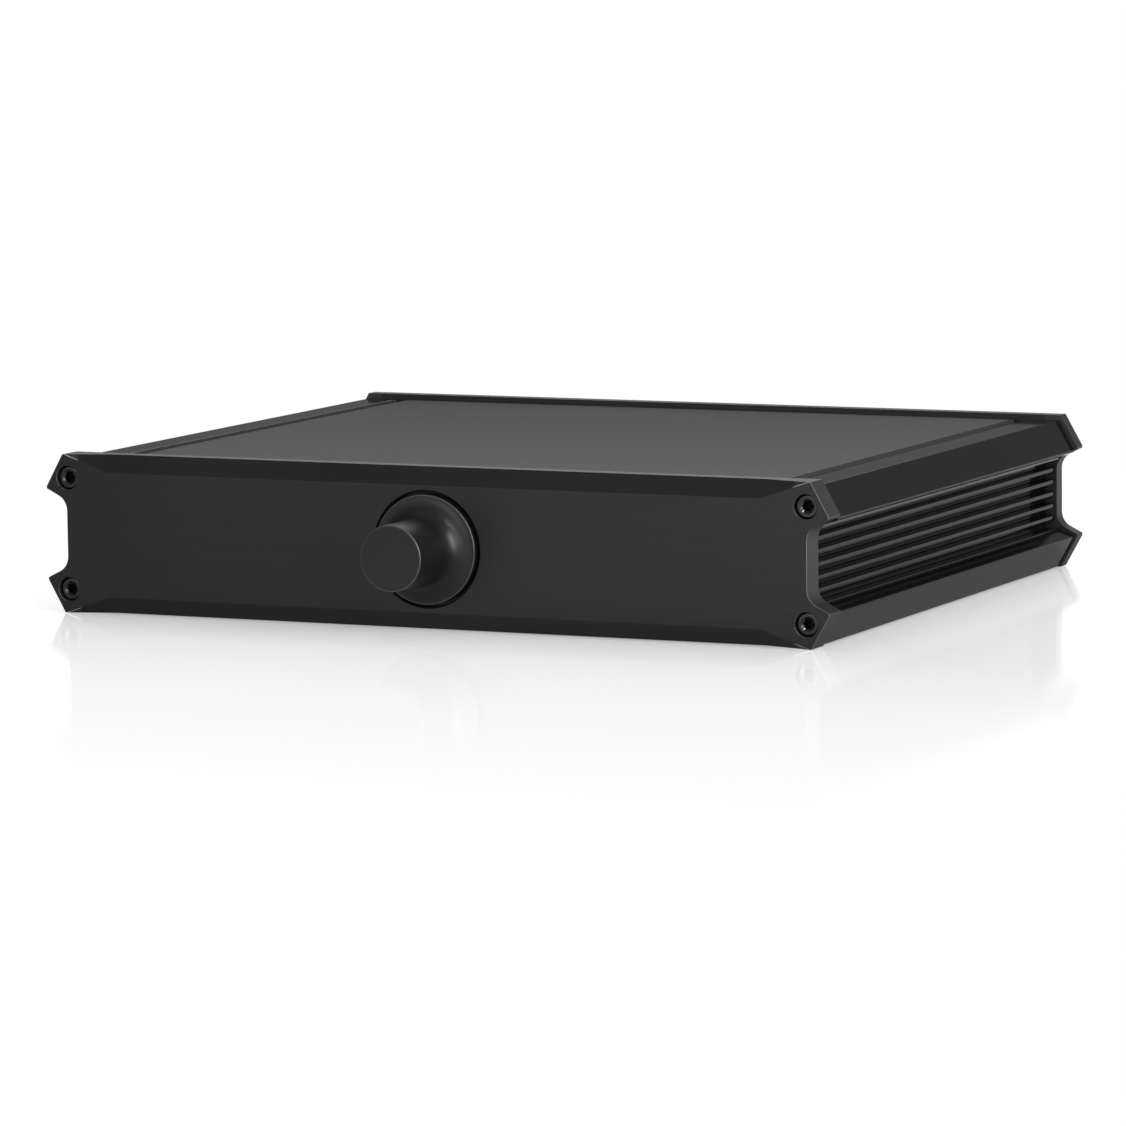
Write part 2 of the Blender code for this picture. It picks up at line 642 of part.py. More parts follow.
def pot_shaft(axis):
    """Shaft with a flat along its front end."""
    radius = SHAFT_DIAMETER / 2
    profile = [(0.0, SHAFT_FRONT), (radius - SHAFT_EDGE, SHAFT_FRONT), (radius, SHAFT_FRONT - SHAFT_EDGE),
               (radius, ROTOR_BACK), (0.0, ROTOR_BACK)]
    shaft = on_axis(turned("pot_shaft", profile, STEEL_FINISH), axis)
    flat_front = SHAFT_FRONT + OVERRUN
    flat_back = GRUB_FORWARD - GRUB_DIAMETER / 2 - FLAT_MARGIN
    size = (SHAFT_DIAMETER + 2 * OVERRUN, SHAFT_DIAMETER, flat_front - flat_back)
    centre = (0.0, SHAFT_FLAT - SHAFT_DIAMETER, (flat_front + flat_back) / 2)
    return combine(shaft, on_axis(block("shaft_flat", size, centre), axis))


def ring(name, outer, inner, front, thickness, material):
    """A flat turned ring."""
    back = front - thickness
    return turned(name, [(inner, front), (outer, front), (outer, back), (inner, back)], material)


def pot_housing(axis):
    """Brass housing plate with the threaded bushing that clamps it to the panel."""
    bore = SHAFT_DIAMETER / 2 + SEAM
    bushing = BUSHING_DIAMETER / 2
    body = HOUSING_DIAMETER / 2
    profile = [(bore, BUSHING_FRONT), (bushing - BUSHING_EDGE, BUSHING_FRONT),
               (bushing, BUSHING_FRONT - BUSHING_EDGE), (bushing, HOUSING_FRONT),
               (body, HOUSING_FRONT), (body, HOUSING_BACK), (bore, HOUSING_BACK)]
    return on_axis(turned("pot_housing", profile, BRASS_FINISH), axis)


def pot_washer_and_nut(axis):
    """Washer and hexagonal nut on the bushing, in the panel's recess behind the knob."""
    hole = BUSHING_DIAMETER / 2 + SEAM
    on_axis(ring("pot_washer", WASHER_DIAMETER / 2, hole, WASHER_FRONT, WASHER_THICKNESS, STEEL_FINISH), axis)
    nut = prism("pot_nut", NUT_FLATS, NUT_THICKNESS, STEEL_FINISH)
    nut.location = (0.0, 0.0, NUT_BACK)
    front = NUT_BACK + NUT_THICKNESS + OVERRUN
    back = NUT_BACK - OVERRUN
    thread = turned("nut_thread", [(0.0, front), (hole, front), (hole, back), (0.0, back)])
    combine(on_axis(nut, axis), on_axis(thread, axis))


def pot_wafer_and_lugs(axis):
    """Resistance wafer with its tab, and the three solder lugs on the tab's back."""
    bore = SHAFT_DIAMETER / 2 + SEAM
    body = HOUSING_DIAMETER / 2
    wafer = on_axis(ring("pot_wafer", body, bore, WAFER_FRONT, WAFER_THICKNESS, BOARD_FINISH), axis)
    tab_top = TAB_LAP - body
    tab_bottom = -(body + TAB_DROP)
    tab = block("wafer_tab", (TAB_WIDTH, tab_top - tab_bottom, WAFER_THICKNESS),
                (0.0, (tab_top + tab_bottom) / 2, (WAFER_FRONT + WAFER_BACK) / 2))
    combine(wafer, on_axis(tab, axis), "UNION")
    for index, side in enumerate(("left", "middle", "right")):
        size = (LUG_WIDTH, LUG_TOP - LUG_BOTTOM, LUG_THICKNESS)
        centre = ((index - 1) * LUG_PITCH, (LUG_TOP + LUG_BOTTOM) / 2, WAFER_BACK - SEAM - LUG_THICKNESS / 2)
        on_axis(block(f"pot_lug_{side}", size, centre, STEEL_FINISH), axis)


def pot_cover(axis):
    """Pressed cup that closes the potentiometer's back."""
    front = WAFER_BACK - SEAM
    back = front - COVER_DEPTH
    body = HOUSING_DIAMETER / 2
    inside = body - COVER_WALL
    profile = [(body, front), (body, back + COVER_EDGE), (body - COVER_EDGE, back), (0.0, back),
               (0.0, back + COVER_WALL), (inside, back + COVER_WALL), (inside, front), (body, front)]
    return on_axis(turned("pot_cover", profile, STEEL_FINISH), axis)


def pot_rotor(axis):
    """Moulded rotor that carries the wipers, on the back end of the shaft."""
    bore = SHAFT_DIAMETER / 2 + SEAM
    rotor = ring("pot_rotor", ROTOR_DIAMETER / 2, bore, ROTOR_FRONT, ROTOR_THICKNESS, MOULDED_FINISH)
    return on_axis(rotor, axis)


axis = knob_axis()
front_panel()
rear_panel()
side_profile("left_side_profile", -1)
side_profile("right_side_profile", 1)
plate("top_plate", 1)
plate("bottom_plate", -1)
for place, x, z in screw_places():
    front_screw(f"front_screw_{place}", x, z)
    rear_screw(f"rear_screw_{place}", x, z)
volume_knob(axis)
knob_grub_screw(axis)
pot_shaft(axis)
pot_rotor(axis)
pot_housing(axis)
pot_washer_and_nut(axis)
pot_wafer_and_lugs(axis)
pot_cover(axis)
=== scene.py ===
# %% [markdown]
# This lesson dresses an amplifier chassis: a small black case that is bolted together from two
# machined end panels, two extruded side profiles with cooling fins, a lid, a floor plate and one
# turned volume knob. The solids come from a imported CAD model. They are exact but plain, so the
# lesson gives each visible piece rounded edges and a metal finish that is worked out, not painted.

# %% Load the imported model
import math

import bmesh
import bpy
from mathutils import Matrix, Vector


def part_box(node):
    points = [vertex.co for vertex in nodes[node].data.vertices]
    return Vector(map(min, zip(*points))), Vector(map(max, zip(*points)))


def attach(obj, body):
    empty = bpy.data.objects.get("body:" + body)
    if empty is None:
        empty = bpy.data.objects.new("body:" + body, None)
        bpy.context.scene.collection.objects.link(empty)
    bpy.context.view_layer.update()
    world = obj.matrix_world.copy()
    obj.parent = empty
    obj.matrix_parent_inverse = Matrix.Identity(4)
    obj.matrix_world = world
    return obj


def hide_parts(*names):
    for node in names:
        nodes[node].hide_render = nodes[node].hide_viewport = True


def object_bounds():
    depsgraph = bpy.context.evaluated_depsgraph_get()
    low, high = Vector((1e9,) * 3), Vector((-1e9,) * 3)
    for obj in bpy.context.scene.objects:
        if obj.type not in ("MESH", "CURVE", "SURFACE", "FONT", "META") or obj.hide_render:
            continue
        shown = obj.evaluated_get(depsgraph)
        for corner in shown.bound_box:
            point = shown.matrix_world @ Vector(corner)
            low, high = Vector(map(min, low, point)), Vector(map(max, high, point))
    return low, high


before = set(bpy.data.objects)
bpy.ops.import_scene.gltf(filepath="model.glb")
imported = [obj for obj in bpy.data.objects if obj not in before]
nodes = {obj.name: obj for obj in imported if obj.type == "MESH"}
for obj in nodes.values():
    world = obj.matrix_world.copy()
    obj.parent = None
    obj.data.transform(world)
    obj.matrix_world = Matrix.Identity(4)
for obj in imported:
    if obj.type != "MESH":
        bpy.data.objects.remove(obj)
cad_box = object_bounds()
print(len(nodes), "solids, size in mm:", [round(size * 1000, 1) for size in cad_box[1] - cad_box[0]])

# %% [markdown]
# Shaders and geometry trees are both graphs of nodes, and maths in a graph is tedious to read when
# every sum is a node with two links. This small class lets an output of a node take part in Python
# sums, and each sum adds its own Math node.

# %% Node outputs that can be added and multiplied
class Value:
    """One output of a node. Sums with it add Math nodes to the same tree."""

    def __init__(self, graph, socket):
        self.graph = graph
        self.socket = socket

    def math(self, operation, *others):
        """A Math node with this value first."""
        values = dict(enumerate((self, *others)))
        return self.graph.node("ShaderNodeMath", {"operation": operation}, values)

    def also(self, output):
        """Another output of the same node."""
        return Value(self.graph, self.socket.node.outputs[output])

    def __add__(self, other):
        return self.math("ADD", other)

    def __radd__(self, other):
        return self.math("ADD", other)

    def __sub__(self, other):
        return self.math("SUBTRACT", other)

    def __rsub__(self, other):
        return self.math("MULTIPLY", -1.0).math("ADD", other)

    def __mul__(self, other):
        return self.math("MULTIPLY", other)

    def __rmul__(self, other):
        return self.math("MULTIPLY", other)

    def __truediv__(self, other):
        return self.math("DIVIDE", other)

    def clamped(self):
        """The value, kept between 0 and 1."""
        return self.graph.node("ShaderNodeClamp", {}, {"Value": self})


print("node outputs can take part in sums")

# %% [markdown]
# One method adds any other node. It takes the node's settings first and its inputs after, and an
# input is either a plain value or the output of another node. It serves materials, the world and
# geometry trees alike.

# %% Graphs that nodes are added to
class Graph:
    """Adds nodes to one emptied tree."""

    def __init__(self, tree):
        self.tree = tree
        tree.nodes.clear()

    def node(self, kind, settings=None, inputs=None, output=0):
        """A new node: its settings are set first, then its sockets are given values or links."""
        node = self.tree.nodes.new(kind)
        for name, setting in (settings or {}).items():
            setattr(node, name, setting)
        for key, value in (inputs or {}).items():
            if isinstance(value, (Value, list)):
                for source in value if isinstance(value, list) else [value]:
                    self.tree.links.new(source.socket, node.inputs[key])
            else:
                node.inputs[key].default_value = value
        return Value(self, node.outputs[output]) if node.outputs else node

    def blend(self, factor, first, second):
        """A colour between two others."""
        colours = {"Factor": factor, 6: first, 7: second}
        return self.node("ShaderNodeMix", {"data_type": "RGBA"}, colours, output=2)

    def place(self):
        """Object coordinates, in metres from the object's origin."""
        return self.node("ShaderNodeTexCoord", output="Object")

    def spot(self):
        """X of the object coordinates, with Y and Z as its other outputs."""
        return self.node("ShaderNodeSeparateXYZ", {}, {"Vector": self.place()})


def new_material(name):
    """A material and the graph that its nodes go into."""
    material = bpy.data.materials.new(name)
    material.use_nodes = True
    return material, Graph(material.node_tree)


print("graph helpers ready")

# %% [markdown]
# The camera stands where the photographer stood. Its place, direction and lens were solved from
# known corners of the case in the picture. The lens is long, so the case hardly narrows away
# from the eye, and the camera looks down by only seven degrees.

# %% Camera
CAMERA_PLACE = (0.8392, -1.7864, 0.2527)
CAMERA_TURN = math.radians(25.142)
CAMERA_PITCH = math.radians(7.012)
CAMERA_ROLL = math.radians(-0.721)
SENSOR_WIDTH = 36.0
LENS_LENGTH = 191.21
NEAREST_SEEN = 0.05
FARTHEST_SEEN = 60.0

camera_data = bpy.data.cameras.new("camera")
camera_data.sensor_width = SENSOR_WIDTH
camera_data.lens = LENS_LENGTH
camera_data.clip_start = NEAREST_SEEN
camera_data.clip_end = FARTHEST_SEEN
camera = bpy.data.objects.new("camera", camera_data)
bpy.context.scene.collection.objects.link(camera)
aim = Matrix.Rotation(CAMERA_TURN, 4, "Z") @ Matrix.Rotation(math.pi / 2 - CAMERA_PITCH, 4, "X")
camera.matrix_world = Matrix.Translation(CAMERA_PLACE) @ aim @ Matrix.Rotation(CAMERA_ROLL, 4, "Z")
bpy.context.scene.camera = camera
print("camera is", round(Vector(CAMERA_PLACE).length, 2), "m from the case")

# %% [markdown]
# The studio is a white glossy table in a room with a dim back wall. Black metal shows what it
# mirrors: the front face and the fins mirror the bright table, while the shoulders and the lid
# mirror the back wall, which is dim on the left and brighter on the right, so they come out darker.
# A thin band at the horizon is white all round. The world is worked out from the direction of a
# ray, because smooth changes of level are easier to tune than a picture of a room.

# %% World
HORIZON_LEVEL = 1.0
BACK_LEVEL = 0.16
RIGHT_LEVEL = 0.34
CEILING_LEVEL = 0.30
FRONT_LEVEL = 0.90
FILL_LEVEL = 0.80
BACK_TO_RIGHT = (-0.1, 0.5)
FRONT_TO_BACK = (-0.75, -0.15)
WALL_TO_CEILING = (0.5, 0.95)
HORIZON_TO_WALL = (0.0, 0.045)


def neutral(level):
    """An opaque grey without a tint."""
    return (level, level, level, 1.0)


def eased(value, limits, first, last):
    """A smooth change from a first level to a last one, between two limits of a value."""
    return value.graph.node("ShaderNodeMapRange", {"interpolation_type": "SMOOTHSTEP"}, {
        "Value": value, "From Min": limits[0], "From Max": limits[1], "To Min": first, "To Max": last})


def mixed(factor, first, second):
    """A mix of two shaders."""
    return factor.graph.node("ShaderNodeMixShader", {}, {0: factor, 1: first, 2: second})


world = bpy.data.worlds.new("light_tent")
world.use_nodes = True
bpy.context.scene.world = world
tent = Graph(world.node_tree)
direction = tent.node("ShaderNodeTexCoord", output="Generated")
toward = tent.node("ShaderNodeSeparateXYZ", {}, {"Vector": direction}, output="Y")
back = eased(toward.also("X"), BACK_TO_RIGHT, BACK_LEVEL, RIGHT_LEVEL)
round_about = eased(toward, FRONT_TO_BACK, FRONT_LEVEL, back)
wall = eased(toward.also("Z"), WALL_TO_CEILING, round_about, CEILING_LEVEL)
rise = eased(toward.also("Z"), HORIZON_TO_WALL, HORIZON_LEVEL, wall)
view = tent.node("ShaderNodeLightPath", output="Is Camera Ray")
seen = (view + view.also("Is Glossy Ray") + view.also("Is Transmission Ray")).clamped()
room = tent.node("ShaderNodeBackground", {}, {"Color": neutral(1.0), "Strength": rise})
fill = tent.node("ShaderNodeBackground", {}, {"Color": neutral(1.0), "Strength": FILL_LEVEL})
tent.node("ShaderNodeOutputWorld", {}, {"Surface": mixed(seen, fill, room)})
bpy.context.scene.view_settings.view_transform = "Standard"
print("world dims from", HORIZON_LEVEL, "to", BACK_LEVEL)

# %% [markdown]
# The case stands on a wide table. One flat square is enough for it. It reaches so far that its edge
# is lost at the horizon, and it lies a hair below the case, so that no two faces share a plane.

# %% Floor
FLOOR_REACH = 12.0
FLOOR_DROP = 0.0002

floor_mesh = bpy.data.meshes.new("floor")
floor_mesh.from_pydata([(x * FLOOR_REACH, y * FLOOR_REACH, -FLOOR_DROP)
                        for x, y in ((-1, -1), (1, -1), (1, 1), (-1, 1))], [], [(0, 1, 2, 3)])
floor = bpy.data.objects.new("floor", floor_mesh)
bpy.context.scene.collection.objects.link(floor)
print("floor is", 2 * FLOOR_REACH, "m wide")

# %% [markdown]
# The table takes the case's shadow and mirrors it, and both fade with the distance from the case's
# footprint. So the table's finish starts with that distance. For the mirror, steps to the side
# count for less, and it reaches further there.

# %% Distances on the table
SIDE_STRETCH = 0.55
PANEL_FACES = (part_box("front_panel")[0].y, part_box("rear_panel")[1].y)


def length_of(across, along):
    """The length of a step, from its parts along two axes."""
    return (across * across + along * along).math("SQRT")


def faded(distance, reach):
    """Falls from 1 at no distance, by a factor e over each reach."""
    return (distance * (-1.0 / reach)).math("EXPONENT")


table_top, ground = new_material("white_glossy_table")
spot = ground.spot()
beside = (spot.math("ABSOLUTE") - cad_box[1].x).math("MAXIMUM", 0.0)
behind = spot.also("Y") - PANEL_FACES[1]
ahead = (PANEL_FACES[0] - spot.also("Y")).math("MAXIMUM", behind).math("MAXIMUM", 0.0)
away = length_of(beside, ahead)
mirror_away = length_of(beside * SIDE_STRETCH, ahead)
print("distances on the table take", len(ground.tree.nodes), "nodes")

# %% [markdown]
# To the camera the table is white, with a lit surface mixed in near the case to show the shadow, and a weak
# mirror over both. The dim back wall would mirror as a grey veil, so the mirror's colour is scaled until
# that wall comes out white. The black metal sees another table, with painted light and shade on it: a
# painted gradient that grows darker toward the left, which gives the front panel its gradient, and painted
# shade that is dark close to the case and black under its flat bottom.

# %% The table's finish
FLOOR_GREY = 0.8
GLOSS_NEAR = 0.04
GLOSS_NEAR_REACH = 0.030
GLOSS_WIDE = 0.36
GLOSS_WIDE_REACH = 0.160
GLOSS_END = 0.37
GLOSS_ROUGHNESS = 0.09
SHADE_NEAR = 0.47
SHADE_REACH = 0.06
PAINTED_SHADE_LEVEL = 0.36
PAINTED_SHADE_REACH = 0.05
BOTTOM_INSET = (0.0068, 0.0050)
BOTTOM_FADE = 0.001
PAINTED_LEFT_LEVEL = 0.42
PAINTED_GRADIENT_SPAN = (-0.35, 0.06)


def shining(colour):
    """Light that the table gives off itself."""
    return ground.node("ShaderNodeEmission", {}, {"Color": colour, "Strength": 1.0})


ending = (1.0 - (away / GLOSS_END).math("POWER", 2.0)).clamped()
near_gloss = GLOSS_NEAR * faded(mirror_away, GLOSS_NEAR_REACH)
wide_gloss = GLOSS_WIDE * faded(mirror_away, GLOSS_WIDE_REACH)
gloss = (near_gloss + wide_gloss) * ending
shade = SHADE_NEAR * faded(away, SHADE_REACH) * ending
side_inset = cad_box[1].x - BOTTOM_INSET[0] - spot.math("ABSOLUTE")
front_inset = spot.also("Y") - PANEL_FACES[0] - BOTTOM_INSET[1]
inward = side_inset.math("MINIMUM", front_inset).math("MINIMUM", -1.0 * behind)
# Painted shade on the table as the metal mirrors it: dark close to the case and black under its flat
# bottom.
painted_near_shade = 1.0 - (1.0 - PAINTED_SHADE_LEVEL) * faded(away, PAINTED_SHADE_REACH)
under = painted_near_shade * (1.0 - (inward / BOTTOM_FADE).clamped())

ray = ground.node("ShaderNodeLightPath", output="Is Camera Ray")
reflected = (ray.also("Is Glossy Ray") + ray.also("Is Transmission Ray")).clamped()
matt = ground.node("ShaderNodeBsdfDiffuse", {}, {"Color": neutral(FLOOR_GREY)})
bright_matt = ground.node("ShaderNodeBsdfDiffuse", {}, {"Color": neutral(1.0)})
mirror = ground.node("ShaderNodeBsdfGlossy", {}, {"Color": neutral(1.0 / BACK_LEVEL),
                                                  "Roughness": GLOSS_ROUGHNESS})
polished = mixed(gloss, mixed(shade, shining(neutral(1.0)), bright_matt), mirror)
# Painted light on the table as the metal mirrors it: a gradient that is darker toward the left.
lit = shining(eased(spot, PAINTED_GRADIENT_SPAN, PAINTED_LEFT_LEVEL, 1.0))
mirrored = mixed(under, shining(neutral(0.0)), lit)
shown = mixed(reflected, mixed(ray, matt, polished), mirrored)
ground.node("ShaderNodeOutputMaterial", {}, {"Surface": shown})
floor_mesh.materials.append(table_top)
print("the table mirrors within", GLOSS_END, "m of the case")

# %% [markdown]
# Soft boxes add the highlights: a tall one and a wide one at the right draw the knob's bell and
# the fine edges, one in front brightens the front panel, a large one high up behind lights the
# upward faces, and a small one high at the right puts a glint in the sockets of the screws.

# %% Lights
CASE_FRONT = (0.0, -0.11, 0.03)


def soft_box(name, place, target, size, watts):
    """A rectangular area lamp that points at a target."""
    data = bpy.data.lights.new(name, "AREA")
    data.shape = "RECTANGLE"
    data.size, data.size_y = size
    data.energy = watts
    lamp = bpy.data.objects.new(name, data)
    lamp.location = place
    lamp.visible_camera = False
    lamp.rotation_euler = (Vector(target) - Vector(place)).to_track_quat("-Z", "Y").to_euler()
    bpy.context.scene.collection.objects.link(lamp)
    return lamp


soft_box("right_box", (1.25, -0.20, 0.45), CASE_FRONT, size=(0.45, 0.8), watts=13.0)
soft_box("window_box", (1.1, -0.95, 0.5), CASE_FRONT, size=(0.9, 0.8), watts=5.0)
soft_box("front_box", (-0.08, -0.97, 0.31), (0.0, -0.1, 0.03), size=(0.5, 0.25), watts=1.0)
soft_box("overhead_box", (-0.32, 0.89, 0.74), (0.0, 0.0, 0.03), size=(0.9, 0.6), watts=4.4)
soft_box("spark_box", (0.65, -0.72, 0.93), (0.13, -0.1, 0.044), size=(0.15, 0.15), watts=2.2)

# %% [markdown]
# Every finish here rests on noise, because real metal is never even. Noise that is stretched along
# a direction looks like the marks of a tool, and noise that isn't looks like a cloudy patch or a
# grain. A photographed texture would do too, but noise needs no picture and stays fine at any
# distance. All finishes end the same way, in one shader with a very shallow bump.

# %% Helpers for the finishes
NOISE_MEAN = 0.5
NOISE_ROUGHNESS = 0.6
COOL_TINT = 1.02


def grey(level):
    """An opaque grey with a slight cool tint."""
    return (level, level, level * COOL_TINT, 1.0)


def passed(value, limits):
    """Rises smoothly from 0 to 1 between two limits of a value."""
    return eased(value, limits, 0.0, 1.0)


def within(value, start, end):
    """Rises smoothly to 1 between two limits at the start, and falls to 0 between two at the end."""
    return passed(value, start) * (1.0 - passed(value, end))


def stretched_noise(graph, cycles, detail=3.0, where=None):
    """Noise with its own number of cycles a metre along X, Y and Z."""
    scaled = graph.node("ShaderNodeVectorMath", {"operation": "MULTIPLY"},
                        {0: where or graph.place(), 1: cycles})
    return graph.node("ShaderNodeTexNoise", {"noise_dimensions": "3D"},
                      {"Vector": scaled, "Scale": 1.0, "Detail": detail, "Roughness": NOISE_ROUGHNESS})


def even_noise(graph, cycles, detail):
    """Noise with the same number of cycles a metre in every direction."""
    return stretched_noise(graph, (cycles, cycles, cycles), detail)


def finish(material, graph, colour, roughness, relief, relief_depth, others):
    """Ends a graph with a Principled shader and a shallow bump."""
    bump = graph.node("ShaderNodeBump", {}, {"Height": relief, "Strength": 1.0, "Distance": relief_depth})
    values = {"Base Color": colour, "Roughness": roughness.clamped(), "Normal": bump, **others}
    surface = graph.node("ShaderNodeBsdfPrincipled", {}, values)
    graph.node("ShaderNodeOutputMaterial", {}, {"Surface": surface})
    print("finish", material.name, "has", len(graph.tree.nodes), "nodes")
    return material


print("finish helpers ready")

# %% [markdown]
# Anodised aluminium is metal under a thin dyed oxide. It is nearly black, and what shows is the reflection
# of the room, broken up by the marks of the tool that made the piece: long brush lines on the panels and
# die lines along the profiles. The same marks drive the colour, the roughness and the bump. Where a cutter
# went through the oxide afterwards, a mask brings in another grey, and other masks bring in paler greys
# that are painted light and painted highlights.

# %% Anodised metal
MOTTLE = 9.0
GRAIN = 5200.0
MARKS_IN_TONE = 0.55
MARKS_IN_RELIEF = 0.8
CLOUD_IN_GLOSS = 0.5
OXIDE_METALLIC = 0.85
MASKED_DULLER = 0.12


def anodised(name, lines, dark, light, roughness, spread, depth, grazing, bare_and_painted_light):
    """Dyed oxide over tool marks. Lines is the number of marks a metre along each axis.

    Grazing is the share of a plain metal's glare that is left at a flat angle. The last argument holds
    pairs of a mask and the grey that shows where the mask is 1: where the oxide is cut, and where light and
    highlights are painted on.
    """
    material, graph = new_material(name)
    marks = stretched_noise(graph, lines)
    cloud = even_noise(graph, MOTTLE, detail=2.0)
    grain = even_noise(graph, GRAIN, detail=1.0)
    tone = (MARKS_IN_TONE * marks + (1.0 - MARKS_IN_TONE) * cloud).clamped()
    colour = graph.blend(tone, grey(dark), grey(light))
    rough = roughness + spread * (marks - NOISE_MEAN) + CLOUD_IN_GLOSS * spread * (cloud - NOISE_MEAN)
    relief = MARKS_IN_RELIEF * marks + (1.0 - MARKS_IN_RELIEF) * grain
    metal = OXIDE_METALLIC
    for mask, level in bare_and_painted_light:
        # Each mask brings in its own grey: the cut sides of the panels, and painted light and painted
        # highlights elsewhere.
        cut = mask(graph.spot())
        colour = graph.blend(cut, colour, grey(level))
        rough = rough + MASKED_DULLER * cut
        metal = metal * (1.0 - cut)
    return finish(material, graph, colour, rough, relief, depth,
                  {"Metallic": metal, "Specular Tint": grey(grazing)})


print("anodised metal has a grain of", GRAIN, "cycles a metre")

# %% [markdown]
# A mask says where a finish differs, and it is worked out from the place on the piece. The sides of the end
# panels were cut after brushing. Painted highlights draw a fine bright line along the panels' front edges
# and along the bead under a profile's horn, and painted light gives the narrow groove beside the lid its
# own, paler grey.

# %% Masks for cut places, painted light and painted highlights
SIDE_DEPTH = (0.0002, 0.0007)
SIDE_START_X = (0.1262, 0.1272)
EDGE_START_DEPTH = (0.00002, 0.00008)
EDGE_END_DEPTH = (0.0002, 0.0003)
EDGE_START_X = (0.1258, 0.1268)
BODY_MIDDLE_Z = 0.0252
BEAD_START_X = (0.1311, 0.1313)
BEAD_END_X = (0.1317, 0.1319)
BEAD_START_Z = (0.0115, 0.0117)
BEAD_END_Z = (0.0124, 0.0126)
CHANNEL_START_X = (0.1145, 0.1150)
CHANNEL_END_X = (0.1209, 0.1213)
CHANNEL_DEPTH = (0.0001, 0.0003)
LID_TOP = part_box("top_plate")[1].z


def depth_behind(faces, spot):
    """Depth along Y from the nearer of two outer faces, one in front and one at the rear."""
    return (spot.also("Y") - faces[0]).math("MINIMUM", faces[1] - spot.also("Y"))


def panel_side(spot):
    """The cut sides of an end panel, behind the edge of its outer face."""
    return passed(depth_behind(PANEL_FACES, spot), SIDE_DEPTH) * passed(spot.math("ABSOLUTE"), SIDE_START_X)


def panel_edge_highlight(spot):
    """A painted highlight on the broken edges of an end panel's outer face, near its two ends."""
    rim = within(depth_behind(PANEL_FACES, spot), EDGE_START_DEPTH, EDGE_END_DEPTH)
    return rim * passed(spot.math("ABSOLUTE"), EDGE_START_X)


def bead_highlight(spot):
    """A painted highlight on the bead under the upper horn of a side profile."""
    beside_bead = within(spot.math("ABSOLUTE"), BEAD_START_X, BEAD_END_X)
    return beside_bead * within(spot.also("Z") - BODY_MIDDLE_Z, BEAD_START_Z, BEAD_END_Z)


def channel_painted_light(spot):
    """Painted light on the walls of the narrow groove between the lid and the side profiles."""
    inside = within(spot.math("ABSOLUTE"), CHANNEL_START_X, CHANNEL_END_X)
    return inside * passed(LID_TOP - spot.also("Z"), CHANNEL_DEPTH)


print("the lid's top is", round(LID_TOP * 1000, 2), "mm up")

# %% [markdown]
# Three finishes cover the outside of the case. The panels are brushed along their length, so their
# noise has few cycles a metre that way and many in the others. The profiles came out of a die, so
# their marks run from front to back and they are the smoothest. The plates are rolled sheet and
# duller than the profiles.

# %% Finishes for the anodised pieces
panel_metal = anodised(
    "brushed_black_panel", lines=(14.0, 2600.0, 2600.0), dark=0.0215, light=0.0410, roughness=0.40,
    spread=0.16, depth=0.00002, grazing=1.0, bare_and_painted_light=[(panel_side, 0.012), (panel_edge_highlight, 0.22)])
profile_metal = anodised(
    "satin_black_profile", lines=(2900.0, 5.0, 2900.0), dark=0.014, light=0.030, roughness=0.09,
    spread=0.05, depth=0.000004, grazing=0.74, bare_and_painted_light=[(channel_painted_light, 0.04), (bead_highlight, 0.05)])
plate_metal = anodised(
    "matt_black_plate", lines=(18.0, 1900.0, 1900.0), dark=0.020, light=0.030, roughness=0.36,
    spread=0.08, depth=0.000012, grazing=0.72, bare_and_painted_light=[(channel_painted_light, 0.04)])
print("3 anodised finishes")

# %% [markdown]
# A lathe tool leaves fine rings round the axis of what it cuts. Noise that depends on the distance from the
# axis, and on the place along it, gives those rings. On the knob a paler grey paints a highlight along the
# sharp edges of the nose and the rim. The same function makes the steel and brass of the potentiometer,
# which sits on the same axis.

# %% Turned metal
NOSE_RADIUS = 0.0106
NOSE_FRONT = 0.0255
RIM_RADIUS = 0.0176
RIM_FRONT = 0.0013
EDGE_INSET = 0.0001
EDGE_FADE = (0.0001, 0.0004)
EDGE_HIGHLIGHT_LEVEL = 0.075
RING_MOTTLE = 40.0
RINGS_IN_TONE = 0.6
MOTTLE_IN_GLOSS = 0.4
KNOB_PLACE = Vector((0.0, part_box("front_panel")[0].y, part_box("front_panel")[1].z / 2))
KNOB_EDGE_HIGHLIGHTS = [(radius - EDGE_INSET, EDGE_INSET - front)
              for radius, front in ((NOSE_RADIUS, NOSE_FRONT), (RIM_RADIUS, RIM_FRONT))]


